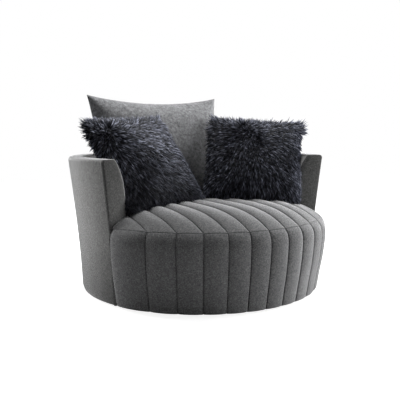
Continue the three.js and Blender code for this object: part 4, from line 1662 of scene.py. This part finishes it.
    def flow(self, u: np.ndarray, v: np.ndarray, root: np.ndarray) -> tuple[np.ndarray, np.ndarray]:
        """Finds which way the pile lies: out from its parting, falling a little, and never quite even.

        Args:
            u: Shares across.
            v: Shares up.
            root: The roots.

        Returns:
            A direction across and up for each root, and its distance from the parting.
        """
        out = np.stack([u - self.part_at[0], v - self.part_at[1]], 1)
        stray = [soft_noise(root, self.wander_size, self.seed + way) for way in self.wander_seeds]
        out += np.stack(stray, 1) * self.wander
        reach = np.linalg.norm(out, axis=1)
        out /= np.maximum(reach, self.even_reach)[:, None]
        out[:, 1] -= self.droop + self.side_fall * ramp(u, *self.droop_ramp) * (v < self.top_ramp[0])
        out[:, 1] += self.top_rise * ramp(v, *self.top_ramp)
        swirl = sum(soft_noise(root, size, self.seed + seed) * turn for size, seed, turn in self.swirls)
        cos, sin = np.cos(swirl), np.sin(swirl)
        return np.stack([out[:, 0] * cos - out[:, 1] * sin, out[:, 0] * sin + out[:, 1] * cos], 1), reach

    def clumps(self, rng: np.random.Generator, root: np.ndarray) -> tuple[np.ndarray, np.ndarray]:
        """Finds the clump that each lock leans to.

        Args:
            rng: The random source.
            root: The roots.

        Returns:
            For each lock, the way to its clump's middle, and its clump's tone.
        """
        cell = np.floor(root[:, [0, 2]] / self.clump_pitch).astype(int)
        keys, which = np.unique(cell, axis=0, return_inverse=True)
        which = which.ravel()
        middle = np.stack([np.bincount(which, root[:, axis]) / np.bincount(which) for axis in range(3)], 1)
        middle += rng.normal(0, self.clump_pitch * self.clump_stray, middle.shape)
        tones = rng.uniform(0, 1, len(keys))
        return middle[which] - root, tones[which]

    def paths(self, rng: np.random.Generator, root: np.ndarray, rise: np.ndarray, along: np.ndarray,
              across: np.ndarray, lengths: np.ndarray, clump: np.ndarray) -> np.ndarray:
        """Bends each lock: up from its root, over to its lie, in towards its clump, with a slight curl.

        Args:
            rng: The random source.
            root: The roots.
            rise: Out from the skin, as strongly as each lock stands.
            along: The way that the pile lies.
            across: Square to both.
            lengths: Each lock's length.
            clump: The way to each lock's clump.

        Returns:
            The points of each lock's middle line.
        """
        line = [root]
        start, loss = self.rise
        for ring in range(1, self.rings + 1):
            heading = unit(rise * (start - loss * ring / self.rings) + along)
            line.append(line[-1] + heading * (lengths / self.rings)[:, None])
        path = np.stack(line, 1)
        shares = np.linspace(0, 1, self.rings + 1)
        path += clump[:, None, :] * (shares**self.clump_power * self.clump_pull)[None, :, None]
        curl = rng.normal(0, self.curl, len(root))
        path += across[:, None, :] * (curl[:, None] * shares**2)[..., None]
        path[:, :, 2] -= (shares**2 * self.tip_fall)[None, :]
        return path

    def bend(self, name: str, path: np.ndarray, tone: np.ndarray, clump_tone: np.ndarray,
             rng: np.random.Generator) -> bpy.types.Object:
        """Bends a copy of the lock along each middle line.

        Args:
            name: The piece's name.
            path: The middle lines.
            tone: Each lock's tone.
            clump_tone: Each lock's clump's tone.
            rng: The random source.

        Returns:
            The pile.
        """
        total = len(path)
        made = copies(self.lock(), name, total)
        points = points_of(made.data)[: len(made.data.vertices) // total]
        ring = np.rint(points[:, 2] * self.rings).astype(int)
        ahead = unit(np.gradient(path, axis=1))
        side = unit(np.cross(ahead, self.width_way))
        other = np.cross(ahead, side)
        width = self.lock_width * rng.uniform(*self.width_spread, total)
        taper = np.array(self.taper)[ring]
        turn = np.arctan2(points[:, 1], points[:, 0])
        where = path[:, ring] + width[:, None, None] * taper[None, :, None] * (
            side[:, ring] * np.cos(turn)[None, :, None] + other[:, ring] * np.sin(turn)[None, :, None])
        move_points(made.data, where.reshape(-1, 3))
        colour = np.ones((total, len(points), 4), np.float32)
        colour[..., 0] = points[:, 2][None, :]
        colour[..., 1] = tone[:, None]
        colour[..., 2] = clump_tone[:, None]
        attribute = made.data.attributes.new("pile", "FLOAT_COLOR", "POINT")
        attribute.data.foreach_set("color", colour.ravel())
        made.data.shade_smooth()
        made.data.materials.append(self.fur)
        made.data.transform(self.cushion.settle())
        return made


# The frame's own pieces


@dataclass
class Underframe:
    """The plinth, the bearing, the wooden frame, the webbing and the lining, which keep their CAD shapes."""

    nodes: dict[str, bpy.types.Object]

    def build(self) -> None:
        """Gives every CAD node that shows its finish."""
        finishes = {
            ("strap",): ThreadFinish("elastic_webbing", (0.035, 0.034, 0.036)),
            ("dust_cover",): ThreadFinish("spunbond_lining", (0.012, 0.012, 0.013), pitch=0.9 * MM),
            ("foam",): MouldedFinish("seat_foam_cells", (0.78, 0.70, 0.42), cell=1.2 * MM, roughness=0.95,
                                     depth=0.4 * MM),
            ("glide",): MouldedFinish("glide_nylon", (0.02, 0.02, 0.021), cell=0.7 * MM, roughness=0.5,
                                      depth=0.1 * MM),
            ("screw", "bolt", "nut", "cage", "plate"): SteelFinish("zinc_plate"),
            ("",): PlywoodFinish("birch_plywood"),
        }
        built = {words: finish.build() for words, finish in finishes.items()}
        for name, node in self.nodes.items():
            words = next(words for words in built if any(word in name for word in words))
            for slot in node.material_slots:
                slot.material = built[words]
            log.info("%s: %s", name, built[words].name)


# The studio


@dataclass
class Lamp:
    """A soft box: its turn and rise from the camera's side of the chair, and its power."""

    name: str
    azimuth: float
    elevation: float
    power: float
    size: tuple[float, float] = (1.6, 2.0)
    distance: float = 3.4


@dataclass
class Studio:
    """The camera, the soft boxes, the white background and the floor."""

    eye: Triple = (-1.4742, -2.6406, 0.7882)
    heading: float = 29.282
    dip: float = 6.587
    focal_pixels: float = 584.1
    frame_pixels: float = 400
    sensor: float = 36
    target: Triple = (0.0, 0.0, 0.4)
    ambient: float = 0.02
    floor_size: float = 14
    floor_tone: Colour = (0.58, 0.58, 0.58)
    near_white: float = 0.88
    near_reach: float = 1.0
    whitening: float = 0.8
    lamps: tuple[Lamp, ...] = (
        Lamp("left_box", azimuth=-108, elevation=10, power=152),
        Lamp("right_box", azimuth=108, elevation=10, power=138),
        Lamp("top_box", azimuth=180, elevation=78, power=140, size=(2.0, 2.0)),
        Lamp("right_fill", azimuth=79, elevation=6, power=72),
    )

    def build(self) -> None:
        """Makes the whole studio."""
        self.make_camera()
        for lamp in self.lamps:
            self.hang(lamp)
        self.make_world()
        self.make_floor()
        bpy.context.scene.view_settings.view_transform = "Standard"

    def make_camera(self) -> None:
        """Puts the camera where the photograph was taken from."""
        data = bpy.data.cameras.new("camera")
        data.sensor_width = self.sensor
        data.lens = self.focal_pixels * self.sensor / self.frame_pixels
        camera = bpy.data.objects.new("camera", data)
        turn, dip = math.radians(self.heading), math.radians(self.dip)
        ahead = Vector((math.sin(turn) * math.cos(dip), math.cos(turn) * math.cos(dip), -math.sin(dip)))
        camera.location = self.eye
        camera.rotation_euler = ahead.to_track_quat("-Z", "Y").to_euler()
        bpy.context.scene.collection.objects.link(camera)
        bpy.context.scene.camera = camera

    def hang(self, lamp: Lamp) -> None:
        """Hangs one soft box, its place measured from the camera's side of the chair.

        Args:
            lamp: The box.
        """
        data = bpy.data.lights.new(lamp.name, "AREA")
        data.shape = "RECTANGLE"
        data.size, data.size_y = lamp.size
        data.energy = lamp.power
        made = bpy.data.objects.new(lamp.name, data)
        turn = math.radians(lamp.azimuth - self.heading)
        rise = math.radians(lamp.elevation)
        way = Vector((math.sin(turn) * math.cos(rise), -math.cos(turn) * math.cos(rise), math.sin(rise)))
        made.location = Vector(self.target) + way * lamp.distance
        made.rotation_euler = (-way).to_track_quat("-Z", "Y").to_euler()
        bpy.context.scene.collection.objects.link(made)

    def white_rays(self, graph: Graph) -> Value:
        """Finds the rays that see the background itself: from the camera, in metal or through glass.

        Args:
            graph: The material's or the world's graph.

        Returns:
            One for such rays, and none for the rest.
        """
        paths = graph.node("ShaderNodeLightPath")
        names = ("Is Camera Ray", "Is Glossy Ray", "Is Transmission Ray")
        camera, metal, glass = (Value(graph, paths.outputs[name]) for name in names)
        return (camera + metal + glass).clamp()

    def make_world(self) -> None:
        """Makes the background white to look at and dim as a light."""
        world = bpy.data.worlds.new("studio")
        bpy.context.scene.world = world
        graph = Graph(world)
        strength = self.white_rays(graph) * (1 - self.ambient) + self.ambient
        shader = graph.node("ShaderNodeBackground", None, {"Color": (1.0, 1.0, 1.0), "Strength": strength})
        graph.node("ShaderNodeOutputWorld", None, {"Surface": Value(graph, shader.outputs[0])})

    def make_floor(self) -> None:
        """Lays a pale floor that keeps the chair's shadow."""
        bm = bmesh.new()
        bmesh.ops.create_grid(bm, x_segments=1, y_segments=1, size=self.floor_size / 2)
        graph = Graph.material("pale_floor")
        grain = graph.noise(0.4, 1.0)
        reach = graph.value("ShaderNodeVectorMath", {"operation": "LENGTH"}, {0: graph.place()}, "Value")
        white = ((reach - self.near_reach) * self.whitening).clamp() * (1 - self.near_white) + self.near_white
        material = graph.principled(
            Base_Color=graph.shade(self.floor_tone, 1.0 + grain * 0.01),
            Roughness=0.9,
            Specular_IOR_Level=0.0,
            Emission_Color=graph.shade(EVEN, self.white_rays(graph) * white),
            Emission_Strength=1.0,
        )
        floor = finished("floor", bm, material)


def back_cushion(chair: Chair) -> Cushion:
    """Gives the back cushion's shape and place, worked out from the seat's inside radius.

    Args:
        chair: The chair that it stands in.

    Returns:
        The cushion.
    """
    inner = chair.inner_radius
    return Cushion(
        name="back_cushion_cover", node="back_cushion",
        width=1.45 * inner, height=1.066 * inner, thick=0.434 * inner,
        place=(-0.165 * inner, 0.448 * inner), yaw=0, lean=12.6,
        taper=0.03, sag=0.05 * inner, full=0.5, across=92, up=66,
    )


def fur_cushion(chair: Chair, side: Side, place: tuple[float, float], **turns: float) -> Cushion:
    """Gives a fur pillow's shape and place.

    Args:
        chair: The chair that it stands in.
        side: Which pillow.
        place: Where it stands, in shares of the seat's inside radius.
        turns: Its yaw, lean and roll in degrees.

    Returns:
        The pillow's cushion.
    """
    inner = chair.inner_radius
    node = f"{side.name.lower()}_fur_pillow"
    return Cushion(
        name=f"{node}_skin", node=node, width=0.958 * inner, height=0.958 * inner, thick=0.288 * inner,
        place=(place[0] * inner, place[1] * inner), blunt=0.015, **turns,
    )


def main() -> None:
    """Builds the studio and the chair, piece by piece."""
    logging.basicConfig(level=logging.INFO, format="%(name)s %(message)s", stream=sys.stdout)
    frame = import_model()
    chair = Chair()
    Studio().build()
    Underframe(frame["nodes"]).build()
    # The seat's stitched lines are darkened: dark thread with painted shade in their creases.
    seat_weave = WeaveFinish("seat_weave", (0.150, 0.151, 0.153), heather=0.55, seam_thread_and_painted_shade=0.55)
    DrumSeat(chair, seat_weave.build()).build()
    brushed = (1.0, 1.0, 0.6)
    # The wrap gets painted shade towards its foot.
    cover_weave = WeaveFinish("cover_weave", (0.172, 0.172, 0.168), nap=brushed, seam_thread_and_painted_shade=0.4,
                              foot_painted_shading=0.45, painted_shading_height=0.32)
    # Both facings are a darker copy of the cover's cloth: painted shade on the arm ends, and painted shade on
    # the strip below each.
    dark = (0.105, 0.105, 0.103)
    # The left facing also gets painted light low down and painted shade at its top.
    left_facing = WeaveFinish("left_facing_weave", dark, nap=brushed, seam_thread_and_painted_shade=0.8,
                              foot_painted_shading=2.2, upper_painted_shading=0.6, painted_shading_height=0.6)
    right_facing = WeaveFinish("right_facing_weave", dark, nap=brushed, seam_thread_and_painted_shade=0.6)
    facings = {Side.LEFT: left_facing.build(), Side.RIGHT: right_facing.build()}
    WrapBack(chair, cover_weave.build(), facings).build()
    cushion_weave = WeaveFinish("cushion_weave", (0.198, 0.200, 0.206), grain=16 * MM, grain_depth=0.6,
                                heather=0.45)
    BackCushion(cushion_weave.build(), back_cushion(chair)).build()
    skin = FurSkinFinish("fur_backing").build()
    fur = FurFinish("long_pile").build()
    left = fur_cushion(chair, Side.LEFT, (-0.468, -0.249), yaw=18.2, lean=35.7, roll=3.5)
    right = fur_cushion(chair, Side.RIGHT, (0.44, -0.295), yaw=-31.7, lean=36.2, roll=-3.9)
    # The left pillow gets painted shade on its lower half.
    FurPillow(left, skin, fur, seed=20, part_at=(-0.6, 0.68), low_painted_shade=0.4).build()
    FurPillow(right, skin, fur, seed=40, part_at=(-0.16, 0.62), side_fall=0.9).build()


if __name__ == "__main__":
    main()
